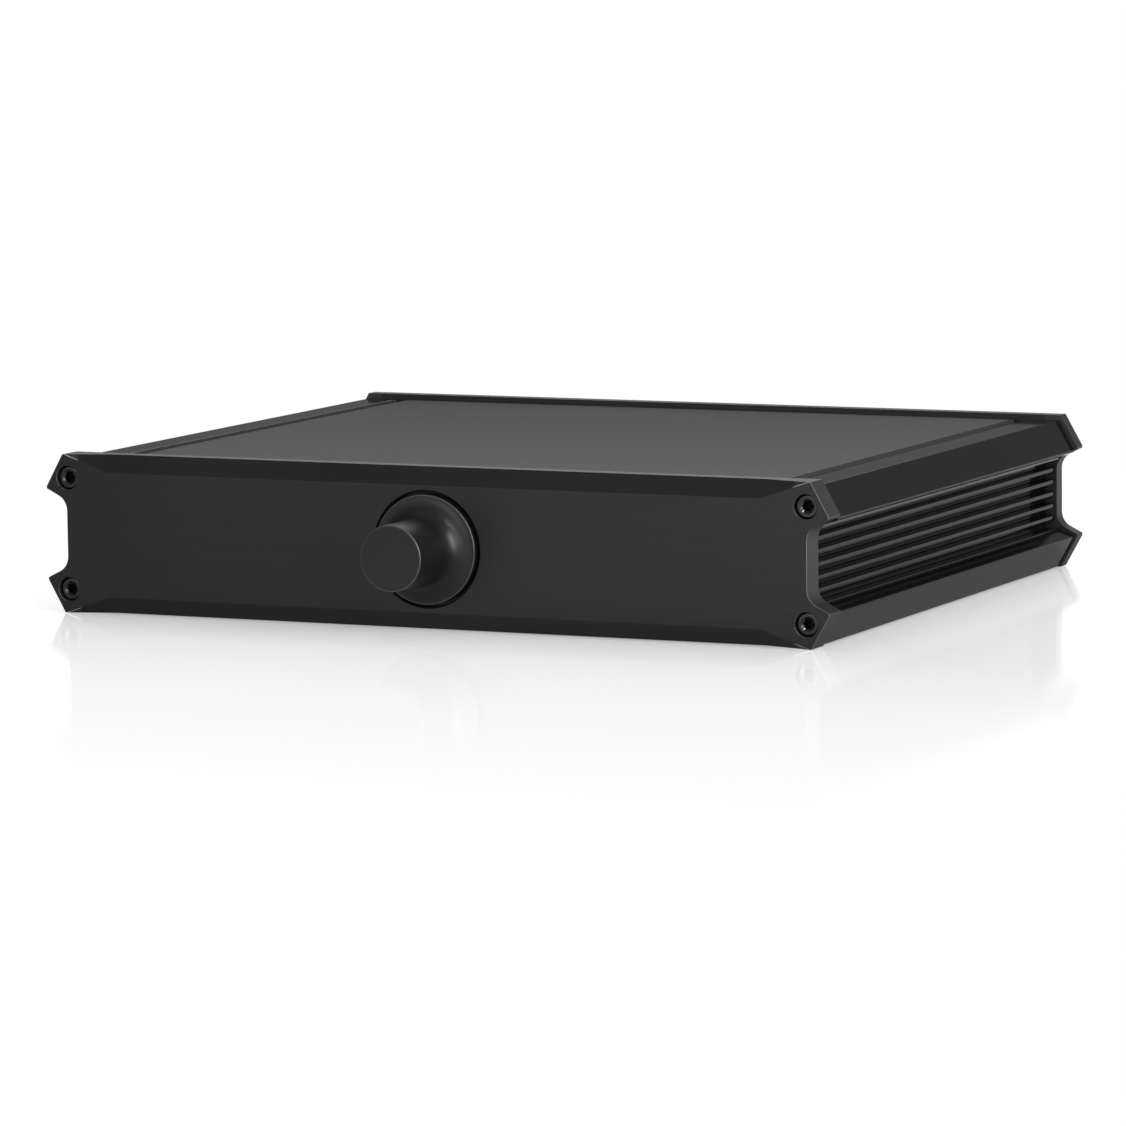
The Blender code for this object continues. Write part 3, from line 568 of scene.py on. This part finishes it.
def turned_metal(name, rings, dark, light, roughness, spread, depth, metallic, edges=()):
    """Metal with fine rings round the knob's axis. Rings is their number a metre.

    Edges are pairs of a radius and a place along Y from the knob's place, where a paler grey paints a
    highlight.
    """
    material, graph = new_material(name)
    offset = graph.node("ShaderNodeVectorMath", {"operation": "SUBTRACT"},
                        {0: graph.place(), 1: KNOB_PLACE})
    across = graph.node("ShaderNodeSeparateXYZ", {}, {"Vector": offset})
    along = across.also("Y")
    radius = length_of(across, across.also("Z"))
    track = graph.node("ShaderNodeCombineXYZ", {}, {"X": radius, "Y": along, "Z": 0.0})
    marks = stretched_noise(graph, (rings, rings, 0.0), where=track)
    cloud = even_noise(graph, RING_MOTTLE, detail=2.0)
    tone = (RINGS_IN_TONE * marks + (1.0 - RINGS_IN_TONE) * cloud).clamped()
    colour = graph.blend(tone, dark, light)
    # Painted highlight: a paler grey along each sharp edge of the knob.
    for edge_radius, edge_place in edges:
        distance = length_of(radius - edge_radius, along - edge_place)
        colour = graph.blend(1.0 - passed(distance, EDGE_FADE), colour, grey(EDGE_HIGHLIGHT_LEVEL))
    rough = roughness + spread * (marks - NOISE_MEAN) + MOTTLE_IN_GLOSS * spread * (cloud - NOISE_MEAN)
    return finish(material, graph, colour, rough, marks, depth, {"Metallic": metallic})


knob_metal = turned_metal(
    "turned_black_knob", rings=3600.0, dark=grey(0.0170), light=grey(0.0225), roughness=0.36,
    spread=0.05, depth=0.0000012, metallic=0.65, edges=KNOB_EDGE_HIGHLIGHTS)
steel_metal = turned_metal(
    "nickel_plated_steel", rings=1800.0, dark=grey(0.50), light=grey(0.62), roughness=0.28,
    spread=0.10, depth=0.000006, metallic=1.0)
brass_metal = turned_metal(
    "turned_brass", rings=1800.0, dark=(0.55, 0.40, 0.17, 1.0), light=(0.70, 0.54, 0.27, 1.0),
    roughness=0.32, spread=0.12, depth=0.000008, metallic=1.0)
print("knob's axis is", round(KNOB_PLACE.z * 1000, 1), "mm up")

# %% [markdown]
# The screws are steel with black oxide. Handling polishes their outer faces, while the sockets stay dead
# matt, and painted shade makes them almost black, so the colour and the roughness change with the depth
# below the face.

# %% Black oxide on the screws
SCREW_FACES = (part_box("front_screw_upper_left")[0].y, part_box("rear_screw_upper_left")[1].y)
SOCKET_DEPTHS = (0.0005, 0.0011)
SCREW_GRAIN = 1600.0
SCREW_ROUGHNESS = 0.14
SCREW_SPREAD = 0.10
SOCKET_DULLER = 0.3
SCREW_RELIEF = 0.000004
SCREW_METALLIC = 0.95
WORN_DARK = 0.036
WORN_LIGHT = 0.066
SOCKET_PAINTED_SHADE = 0.002


def oxide_black(name):
    """Black oxide that is polished on a screw's face, dead matt down in its socket and darkened there with
    painted shade.
    """
    material, graph = new_material(name)
    inside = passed(depth_behind(SCREW_FACES, graph.spot()), SOCKET_DEPTHS)
    grain = even_noise(graph, SCREW_GRAIN, detail=3.0)
    worn = graph.blend(grain, grey(WORN_DARK), grey(WORN_LIGHT))
    # Painted shade: down in the socket the colour falls to almost black.
    colour = graph.blend(inside, worn, grey(SOCKET_PAINTED_SHADE))
    rough = SCREW_ROUGHNESS + SCREW_SPREAD * (grain - NOISE_MEAN) + SOCKET_DULLER * inside
    return finish(material, graph, colour, rough, grain, SCREW_RELIEF, {"Metallic": SCREW_METALLIC})


screw_metal = oxide_black("black_oxide_screw")

# %% [markdown]
# Two pieces of the potentiometer aren't metal: the board that carries its resistance track, and
# the moulding that turns. A plain shader with a fine even grain is enough for them.

# %% Board and moulding
GRAIN_SPREAD = 0.2


def speckled(name, dark, light, cycles, roughness, depth):
    """A plain moulded or pressed material with a fine grain."""
    material, graph = new_material(name)
    grain = even_noise(graph, cycles, detail=4.0)
    rough = roughness + GRAIN_SPREAD * (grain - NOISE_MEAN)
    return finish(material, graph, graph.blend(grain, dark, light), rough, grain, depth, {"Metallic": 0.0})


board_stuff = speckled("phenolic_board", dark=(0.11, 0.045, 0.018, 1.0), light=(0.21, 0.10, 0.045, 1.0),
                       cycles=700.0, roughness=0.6, depth=0.00002)
moulding_stuff = speckled("black_moulding", dark=grey(0.012), light=grey(0.03),
                          cycles=900.0, roughness=0.5, depth=0.00001)

# %% [markdown]
# A dressed piece is a new object. It holds a mesh and a finish, rides on a body of the model, and the CAD
# solids it stands for are hidden. What modifiers make of it is kept as a plain mesh, so that it can be
# exported as it is.

# %% Pieces
MERGE = 0.000002


def new_piece(name, mesh, material):
    """Links an object at the origin that carries a mesh and one material."""
    piece = bpy.data.objects.new(name, mesh)
    bpy.context.scene.collection.objects.link(piece)
    mesh.materials.clear()
    mesh.materials.append(material)
    return piece


def shade_flats_first(piece, keep_sharp, weight):
    """Lets large faces keep their own shading where a narrow round joins them."""
    modifier = piece.modifiers.new("flat_faces_first", "WEIGHTED_NORMAL")
    modifier.keep_sharp = keep_sharp
    modifier.weight = weight


def settle(piece):
    """Applies a piece's modifiers and keeps the result as a plain mesh."""
    bpy.context.view_layer.update()
    graph = bpy.context.evaluated_depsgraph_get()
    mesh = bpy.data.meshes.new_from_object(piece.evaluated_get(graph))
    piece.modifiers.clear()
    piece.data = mesh
    mesh.name = piece.name
    return piece


def place_in_case(piece, body, slot, *replaced):
    """The piece rides on a body and stands for some CAD nodes, which are hidden. The slot is not used."""
    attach(piece, body)
    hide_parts(*replaced)


print("corners closer than", MERGE * 1000, "mm are merged")

# %% [markdown]
# The end panels are sawn and milled from thick plate. Their shape in the CAD model is already
# right, but its edges are perfectly sharp, and real edges are broken by a fraction of a
# millimetre. That tiny round is what draws the thin bright line round a real panel. A bevel can't
# be run on the solid itself, whose mesh is loose triangles, so a copy is merged, its flat faces are
# joined again, and a narrow bevel is run round every corner.

# %% Rounded copies of the flat pieces
FLAT_ANGLE = math.radians(0.4)
CORNER_ANGLE = math.radians(24.0)
ROUND_SEGMENTS = 3
FLATS_ONLY = 100
PANEL_ROUND = 0.00022
PLATE_ROUND = 0.00018


def joined_flats(node):
    """A merged copy of a CAD node's mesh, with each flat face in one piece again."""
    mesh = nodes[node].data.copy()
    work = bmesh.new()
    work.from_mesh(mesh)
    bmesh.ops.remove_doubles(work, verts=work.verts, dist=MERGE)
    bmesh.ops.dissolve_limit(work, angle_limit=FLAT_ANGLE, verts=work.verts, edges=work.edges)
    for face in work.faces:
        face.smooth = True
    work.to_mesh(mesh)
    work.free()
    return mesh


def rounded_copy(name, node, material, width):
    """A copy of one CAD node with every sharp edge rounded."""
    piece = new_piece(name, joined_flats(node), material)
    bevel = piece.modifiers.new("broken_edges", "BEVEL")
    bevel.width = width
    bevel.segments = ROUND_SEGMENTS
    bevel.limit_method = "ANGLE"
    bevel.angle_limit = CORNER_ANGLE
    bevel.miter_outer = "MITER_ARC"
    shade_flats_first(piece, False, FLATS_ONLY)
    settle(piece)
    print(name, "has", len(piece.data.polygons), "faces")
    return piece


for name, node in (("milled_front_panel", "front_panel"), ("milled_rear_panel", "rear_panel")):
    place_in_case(rounded_copy(name, node, panel_metal, PANEL_ROUND), "case", "panel", node)
for name, node in (("lid", "top_plate"), ("floor_plate", "bottom_plate")):
    place_in_case(rounded_copy(name, node, plate_metal, PLATE_ROUND), "case", "plate", node)

# %% [markdown]
# The other pieces are drawn anew from outlines. An outline is a list of corners, and each corner
# has a radius, as a die or a lathe tool leaves no sharp one. The points round such a corner are
# worked out in Python, where the numbers can be read and checked.

# %% Outlines with rounded corners
def soft_line(corners, steps):
    """Points along a run of corners (across, up, radius). A radius of zero stays sharp."""
    points = []
    for index, (across, up, radius) in enumerate(corners):
        corner = Vector((across, up))
        if radius == 0.0:
            points.append(corner)
            continue
        before = (Vector(corners[index - 1][:2]) - corner).normalized()
        after = (Vector(corners[(index + 1) % len(corners)][:2]) - corner).normalized()
        half = before.angle(after) / 2
        centre = corner + (before + after).normalized() * radius / math.sin(half)
        start = corner + before * radius / math.tan(half) - centre
        end = corner + after * radius / math.tan(half) - centre
        first = math.atan2(start.y, start.x)
        turn = (math.atan2(end.y, end.x) - first + math.pi) % (2 * math.pi) - math.pi
        for step in range(steps + 1):
            angle = first + turn * step / steps
            points.append(centre + radius * Vector((math.cos(angle), math.sin(angle))))
    return points


def circle(across, up, radius, steps):
    """Points round a circle."""
    angles = [2 * math.pi * step / steps for step in range(steps)]
    return [Vector((across + radius * math.cos(a), up + radius * math.sin(a))) for a in angles]


def wire(name, runs, material, closed=True):
    """An object of bare edges in its own XY plane, for a geometry tree to work on."""
    mesh = bpy.data.meshes.new(name)
    points, edges = [], []
    for run in runs:
        first = len(points)
        points += [(*point, 0.0) for point in run]
        edges += [(place, place + 1) for place in range(first, len(points) - 1)]
        if closed:
            edges.append((len(points) - 1, first))
    mesh.from_pydata(points, edges, [])
    return new_piece(name, mesh, material)


soft_square = soft_line([(0, 0, 0.1), (1, 0, 0.1), (1, 1, 0.1), (0, 1, 0.1)], 5)
print(len(soft_square), "points round a soft square")

# %% [markdown]
# A geometry tree turns an outline into a solid piece. Its sizes are named inputs, so one tree can
# serve several pieces. What it made is kept as a plain mesh, with every edge sharper than a limit
# left sharp in its shading.

# %% Geometry trees
TO_FRONT = (math.pi / 2, 0.0, 0.0)
SHARP_ANGLE = math.radians(32.0)
EVEN_WEIGHT = 50


def geometry_tree(name, sockets):
    """A tree with named inputs, its graph helper and the geometry that comes in."""
    tree = bpy.data.node_groups.new(name, "GeometryNodeTree")
    tree.interface.new_socket("Geometry", in_out="INPUT", socket_type="NodeSocketGeometry")
    tree.interface.new_socket("Geometry", in_out="OUTPUT", socket_type="NodeSocketGeometry")
    for label, kind in sockets.items():
        tree.interface.new_socket(label, in_out="INPUT", socket_type="NodeSocket" + kind)
    graph = Graph(tree)
    return graph, graph.node("NodeGroupInput", output="Geometry")


def moved(geometry, place, turn=TO_FRONT):
    """The geometry, turned and then moved. TO_FRONT points its own Z to the case's front."""
    return geometry.graph.node("GeometryNodeTransform", {}, {
        "Geometry": geometry, "Translation": place, "Rotation": turn})


def close_tree(graph, geometry, material):
    """Ends a tree: plain mesh, smooth, one material."""
    smooth = graph.node("GeometryNodeSetShadeSmooth", {}, {"Geometry": geometry})
    plain = graph.node("GeometryNodeRealizeInstances", {}, {"Geometry": smooth})
    dressed = graph.node("GeometryNodeSetMaterial", {}, {"Geometry": plain, "Material": material})
    graph.node("NodeGroupOutput", {}, {"Geometry": dressed})
    return graph.tree


def grow(piece, tree, values):
    """Runs a tree on a piece, keeps the result as a mesh and gives flat faces their own shading."""
    modifier = piece.modifiers.new(tree.name, "NODES")
    modifier.node_group = tree
    for item in tree.interface.items_tree:
        if item.in_out == "INPUT" and item.name in values:
            modifier[item.identifier] = values[item.name]
    settle(piece)
    work = bmesh.new()
    work.from_mesh(piece.data)
    bmesh.ops.remove_doubles(work, verts=work.verts, dist=MERGE)
    bmesh.ops.recalc_face_normals(work, faces=work.faces)
    work.to_mesh(piece.data)
    work.free()
    piece.data.set_sharp_from_angle(angle=SHARP_ANGLE)
    shade_flats_first(piece, True, EVEN_WEIGHT)
    settle(piece)
    print(piece.name, "has", len(piece.data.polygons), "faces")
    return piece


print("geometry helpers ready")

# %% [markdown]
# A side profile is one extrusion: aluminium pushed through a die with the shape of two pointed
# horns and a comb of fins. Its shape follows one outline, so a geometry tree draws it out along
# the case: it fills the outline, closes the far end and raises the walls between. The fins could
# be modelled one by one, but this way they are all alike and stay as named sizes.

# %% The tree that draws a profile out
def drawn_out_tree():
    """Fills the outlines and draws the face out along Y, up to a back end."""
    graph, given = geometry_tree("drawn_out", {"Back": "Float", "Length": "Float", "Finish": "Material"})
    outline = graph.node("GeometryNodeMeshToCurve", {}, {"Mesh": given})
    face = graph.node("GeometryNodeFillCurve", {"mode": "TRIANGLES"}, {"Curve": outline})
    along = graph.node("ShaderNodeCombineXYZ", {}, {"Z": given.also("Length")})
    walls = graph.node("GeometryNodeExtrudeMesh", {}, {"Mesh": face, "Offset": along, "Individual": False})
    end = graph.node("GeometryNodeFlipFaces", {}, {"Mesh": face})
    solid = graph.node("GeometryNodeJoinGeometry", {}, {"Geometry": [walls, end]})
    back_end = graph.node("ShaderNodeCombineXYZ", {}, {"Y": given.also("Back")})
    return close_tree(graph, moved(solid, back_end), given.also("Finish"))


DRAWN_OUT = drawn_out_tree()
print(DRAWN_OUT.name, "has", len(DRAWN_OUT.nodes), "nodes")

# %% [markdown]
# The outline starts at the slot that holds the lid, runs over the flat land and down the sloping
# shoulder to the horn's blunt tip, and comes back to a small bead below it. Then come the five
# fins. The lower half mirrors the upper one. All of it is kept as named sizes in metres, with
# heights from the profile's middle.

# %% Outline of a side profile
BODY_HALF = 0.025
SLOT_LOW = BODY_HALF - 0.0033
SLOT_HIGH = BODY_HALF - 0.0014
INNER_X = 0.1196
SLOT_END_X = 0.1236
LAND_X = 0.1206
CORNER_X = 0.1314
TIP_X = 0.1370
TIP_Z = 0.0147
TIP_HALF = 0.00035
TIP_ROUND = 0.0002
BEAD_X = 0.1313
BEAD_Z = 0.01205
BEAD_RADIUS = 0.00032
BEAD_ANGLES = range(20, -181, -20)
FIN_TIP_X = 0.1299
FIN_ROOT_X = 0.1257
RECESS_X = FIN_ROOT_X + 0.0009
FIN_PITCH = 0.0041
FIN_HALF = 0.00075
FIN_COUNT = 5
TOP_FIN = FIN_PITCH * (FIN_COUNT - 1) / 2
FIN_ROUND = 0.0003
ROOT_ROUND = 0.0004
DIE_ROUND = 0.00025


def upper_half():
    """Corners of a right side profile from the lid's slot out round the horn to the top fin."""
    bead = [(BEAD_X + BEAD_RADIUS * math.cos(math.radians(angle)),
             BEAD_Z + BEAD_RADIUS * math.sin(math.radians(angle)), 0.0) for angle in BEAD_ANGLES]
    return [
        (INNER_X, SLOT_LOW, DIE_ROUND), (SLOT_END_X, SLOT_LOW, 0.0),
        (SLOT_END_X, SLOT_HIGH, 0.0), (LAND_X, SLOT_HIGH, DIE_ROUND),
        (LAND_X, BODY_HALF, DIE_ROUND), (CORNER_X, BODY_HALF, DIE_ROUND),
        (TIP_X, TIP_Z + TIP_HALF, TIP_ROUND), (TIP_X, TIP_Z - TIP_HALF, TIP_ROUND), *bead,
        (RECESS_X, BEAD_Z, ROOT_ROUND), (RECESS_X, TOP_FIN + FIN_HALF, ROOT_ROUND),
    ]


def profile_corners():
    """All corners of a right side profile, in X and in height from its middle."""
    upper = upper_half()
    corners = list(upper)
    for index in range(FIN_COUNT):
        level = TOP_FIN - index * FIN_PITCH
        corners += [(FIN_TIP_X, level + FIN_HALF, FIN_ROUND), (FIN_TIP_X, level - FIN_HALF, FIN_ROUND)]
        if index < FIN_COUNT - 1:
            corners.append((FIN_ROOT_X, level - FIN_HALF, ROOT_ROUND))
            corners.append((FIN_ROOT_X, level - FIN_PITCH + FIN_HALF, ROOT_ROUND))
    return corners + [(x, -z, radius) for x, z, radius in reversed(upper)]


print(len(profile_corners()), "corners round a side profile")

# %% [markdown]
# Each profile ends a little inside the two end panels and has a port for a screw near its top and
# its bottom. The left one is the right one mirrored, so one function makes both.

# %% Side profiles
PANEL_HEIGHT = 0.052
CASE_TIP_X = 0.138
FRONT_Y = -0.10025
REAR_Y = 0.12575
BODY_FRONT_Y = FRONT_Y + 0.0099
BODY_REAR_Y = REAR_Y - 0.0055
SCREW_X = CASE_TIP_X - 0.0076
SCREW_Z = PANEL_HEIGHT / 2 - 0.0077
PORT_RADIUS = 0.0023
PORT_STEPS = 32
DIE_STEPS = 5


def side_profile(name, node, hand):
    """One side profile with its two screw ports."""
    corners = soft_line(profile_corners(), DIE_STEPS)
    outline = [Vector((hand * x, z + BODY_MIDDLE_Z)) for x, z in corners]
    ports = [circle(hand * SCREW_X, PANEL_HEIGHT / 2 + up * SCREW_Z, PORT_RADIUS, PORT_STEPS)
             for up in (1, -1)]
    piece = wire(name, [outline, *ports], profile_metal)
    grow(piece, DRAWN_OUT, {"Back": BODY_REAR_Y, "Length": BODY_REAR_Y - BODY_FRONT_Y,
                            "Finish": profile_metal})
    place_in_case(piece, "case", "profile", node)


side_profile("right_finned_side", "right_side_profile", 1)
side_profile("left_finned_side", "left_side_profile", -1)

# %% [markdown]
# The knob and the screws are turned, so their trees work like a lathe: they carry a half section
# round a very small circle and merge what meets on the axis. A hole or a socket is then cut out
# with a second shape, as a drill or a punch would do it. A Screw modifier could turn the section
# as well, but a tree does both steps at once.

# %% Lathe
LATHE_CIRCLE = 0.001
DRILL_LENGTH = 0.02
DRILL_SIDES = 40
KNOB_STEPS = 192


def lathe(graph, given, steps):
    """Nodes that turn a half section of radius and height about the tree's own Z."""
    path = graph.node("GeometryNodeCurvePrimitiveCircle", {}, {"Resolution": steps,
                                                               "Radius": LATHE_CIRCLE})
    profile = graph.node("GeometryNodeMeshToCurve", {}, {"Mesh": given})
    section = graph.node("GeometryNodeTransform", {}, {
        "Geometry": profile, "Translation": (-LATHE_CIRCLE, 0.0, 0.0), "Scale": (1.0, -1.0, 1.0)})
    skin = graph.node("GeometryNodeCurveToMesh", {}, {"Curve": path, "Profile Curve": section})
    return graph.node("GeometryNodeMergeByDistance", {}, {"Geometry": skin, "Distance": MERGE})


def cut_away(body, tool):
    """The body without what the tool covers."""
    return body.graph.node("GeometryNodeMeshBoolean", {"operation": "DIFFERENCE", "solver": "EXACT"},
                           {"Mesh 1": body, "Mesh 2": tool})


def knob_tree():
    """A turned knob facing the front, with a hole for its grub screw underneath."""
    graph, given = geometry_tree("turned_knob", {"Place": "Vector", "Hole Radius": "Float",
                                                 "Hole Forward": "Float", "Finish": "Material"})
    drill = graph.node("GeometryNodeMeshCylinder", {}, {
        "Vertices": DRILL_SIDES, "Radius": given.also("Hole Radius"), "Depth": DRILL_LENGTH})
    forward = graph.node("ShaderNodeCombineXYZ", {}, {"Y": -DRILL_LENGTH / 2,
                                                      "Z": given.also("Hole Forward")})
    drilled = cut_away(lathe(graph, given, KNOB_STEPS), moved(drill, forward))
    return close_tree(graph, moved(drilled, given.also("Place")), given.also("Finish"))


KNOB_TREE = knob_tree()
print(KNOB_TREE.name, "has", len(KNOB_TREE.nodes), "nodes")

# %% [markdown]
# The knob is one turned piece. It runs straight back from its flat nose and then flares as
# a quarter ellipse out to a thin rim, which sits in a round recess of the front panel. Inside it is
# hollow behind the rim, with a bore for the shaft. Heights are measured forward from the front
# panel's face.

# %% Knob
RIM_BACK = -0.0027
FLARE_FRONT = NOSE_FRONT - 0.0165
FLARE_STEPS = 36
NOSE_ROUND = 0.00045
RIM_ROUND = 0.0003
CAVITY_RADIUS = 0.0089282
CAVITY_FRONT = 0.0016
BORE_RADIUS = 0.0033
BORE_FRONT = 0.0178
TURNED_STEPS = 6


def flare():
    """Corners along the knob's flare, a quarter ellipse from the straight neck out to the rim."""
    corners = []
    for step in range(FLARE_STEPS):
        angle = math.pi / 2 * step / FLARE_STEPS
        radius = NOSE_RADIUS + (RIM_RADIUS - NOSE_RADIUS) * (1 - math.cos(angle))
        corners.append((radius, FLARE_FRONT - (FLARE_FRONT - RIM_FRONT) * math.sin(angle), 0.0))
    return corners


knob_corners = [
    (0.0, NOSE_FRONT, 0.0), (NOSE_RADIUS, NOSE_FRONT, NOSE_ROUND), *flare(),
    (RIM_RADIUS, RIM_FRONT, RIM_ROUND), (RIM_RADIUS, RIM_BACK, RIM_ROUND),
    (CAVITY_RADIUS, RIM_BACK, 0.0), (CAVITY_RADIUS, CAVITY_FRONT, 0.0),
    (BORE_RADIUS, CAVITY_FRONT, 0.0), (BORE_RADIUS, BORE_FRONT, 0.0), (0.0, BORE_FRONT, 0.0),
]
knob = wire("bell_knob", [soft_line(knob_corners, TURNED_STEPS)], knob_metal, closed=False)
grow(knob, KNOB_TREE, {"Place": KNOB_PLACE, "Hole Radius": 0.0018, "Hole Forward": 0.01,
                       "Finish": knob_metal})
place_in_case(knob, "knob", "knob", "volume_knob")

# %% [markdown]
# Four screws hold each end panel, so one tree makes all four together: it turns one screw, cuts its
# hexagonal socket and stands a copy on each corner of a grid. The hexagon is centred on the face
# of the head, so it is twice as long as the socket is deep.

# %% The tree that makes four screws
SCREW_STEPS = 48
ACROSS_FLATS_TO_RADIUS = 0.5 / math.cos(math.pi / 6)


def screws_tree():
    """Socket screws on the four corners of an upright grid."""
    graph, given = geometry_tree("corner_screws", {
        "Place": "Vector", "Across": "Float", "Up": "Float", "Flats": "Float", "Depth": "Float",
        "Facing": "Rotation", "Finish": "Material"})
    hexagon = graph.node("GeometryNodeMeshCylinder", {}, {
        "Vertices": 6, "Radius": given.also("Flats") * ACROSS_FLATS_TO_RADIUS,
        "Depth": given.also("Depth") * 2.0})
    screw = cut_away(lathe(graph, given, SCREW_STEPS), hexagon)
    grid = graph.node("GeometryNodeMeshGrid", {}, {
        "Size X": given.also("Across"), "Size Y": given.also("Up"), "Vertices X": 2, "Vertices Y": 2})
    rows = graph.node("GeometryNodeInstanceOnPoints", {}, {"Points": grid, "Instance": screw})
    placed = moved(rows, given.also("Place"), given.also("Facing"))
    return close_tree(graph, placed, given.also("Finish"))


SCREWS = screws_tree()
print(SCREWS.name, "has", len(SCREWS.nodes), "nodes")

# %% [markdown]
# A front screw has a round head with a shallow dish, sunk in a counterbore. A rear screw has
# a countersunk head, flush with the panel. Both have the same shank with a bevelled point. Their
# half sections are measured down from the face of the head.

# %% Screws
CORNERS = ("upper_left", "upper_right", "lower_left", "lower_right")
SHANK_RADIUS = 0.002
POINT = 0.0006
HEAD_RADIUS = 0.0036
HEAD_HEIGHT = 0.004
HEAD_ROUND = 0.0004
DISH_RADIUS = 0.0017
DISH_LIP = 0.0024
DISH_DEPTH = 0.0006
LIP_ROUND = 0.0001
FLUSH_RADIUS = 0.0038
FLUSH_HEIGHT = 0.0022
HEAD_SUNK = 0.0013
TO_REAR = (-math.pi / 2, 0.0, 0.0)
SCREW_CORNER_STEPS = 4


def shank(length):
    """Corners of a shank and its bevelled point, down to a length below the face of the head."""
    return [(SHANK_RADIUS, POINT - length, 0.0), (SHANK_RADIUS - POINT, -length, 0.0), (0.0, -length, 0.0)]


def corner_screws(name, end, corners, y, flats, depth, facing):
    """Four screws as one piece, with their faces at a place along Y."""
    piece = wire(name, [soft_line(corners, SCREW_CORNER_STEPS)], screw_metal, closed=False)
    grow(piece, SCREWS, {"Place": (0.0, y, PANEL_HEIGHT / 2), "Across": 2 * SCREW_X, "Up": 2 * SCREW_Z,
                         "Flats": flats, "Depth": depth, "Facing": facing, "Finish": screw_metal})
    place_in_case(piece, "case", "screw", *[f"{end}_screw_{corner}" for corner in CORNERS])


socket_head = [
    (0.0, -DISH_DEPTH, 0.0), (DISH_RADIUS, -DISH_DEPTH, 0.0), (DISH_LIP, 0.0, LIP_ROUND),
    (HEAD_RADIUS, 0.0, HEAD_ROUND), (HEAD_RADIUS, -HEAD_HEIGHT, 0.0), (SHANK_RADIUS, -HEAD_HEIGHT, 0.0),
]
flush_head = [(0.0, 0.0, 0.0), (FLUSH_RADIUS, 0.0, LIP_ROUND), (SHANK_RADIUS, -FLUSH_HEIGHT, 0.0)]
corner_screws("front_socket_screws", "front", socket_head + shank(0.0165), FRONT_Y + HEAD_SUNK,
              flats=0.0032, depth=0.0022, facing=TO_FRONT)
corner_screws("rear_countersunk_screws", "rear", flush_head + shank(0.0147), REAR_Y,
              flats=0.0024, depth=0.0016, facing=TO_REAR)

# %% [markdown]
# The potentiometer sits inside the case. Its pieces keep their plain CAD shapes, but they get
# real finishes too, because someone may take the case apart or look in from behind. The solids
# that a dressed piece stands for get the same finish as that piece.

# %% Finishes for every CAD solid
INSIDE = {
    "pot_shaft": steel_metal, "pot_rotor": moulding_stuff, "pot_housing": brass_metal,
    "pot_washer": steel_metal, "pot_nut": steel_metal, "pot_wafer": board_stuff,
    "pot_lug_left": steel_metal, "pot_lug_middle": steel_metal, "pot_lug_right": steel_metal,
    "pot_cover": steel_metal, "volume_knob": knob_metal,
}
OUTSIDE = {"panel": panel_metal, "profile": profile_metal, "plate": plate_metal, "screw": screw_metal}
for name, node in nodes.items():
    kind = next((kind for kind in OUTSIDE if kind in name), None)
    material = INSIDE[name] if name in INSIDE else OUTSIDE[kind]
    node.data.materials.clear()
    node.data.materials.append(material)
print(len(nodes), "CAD solids have a finish")
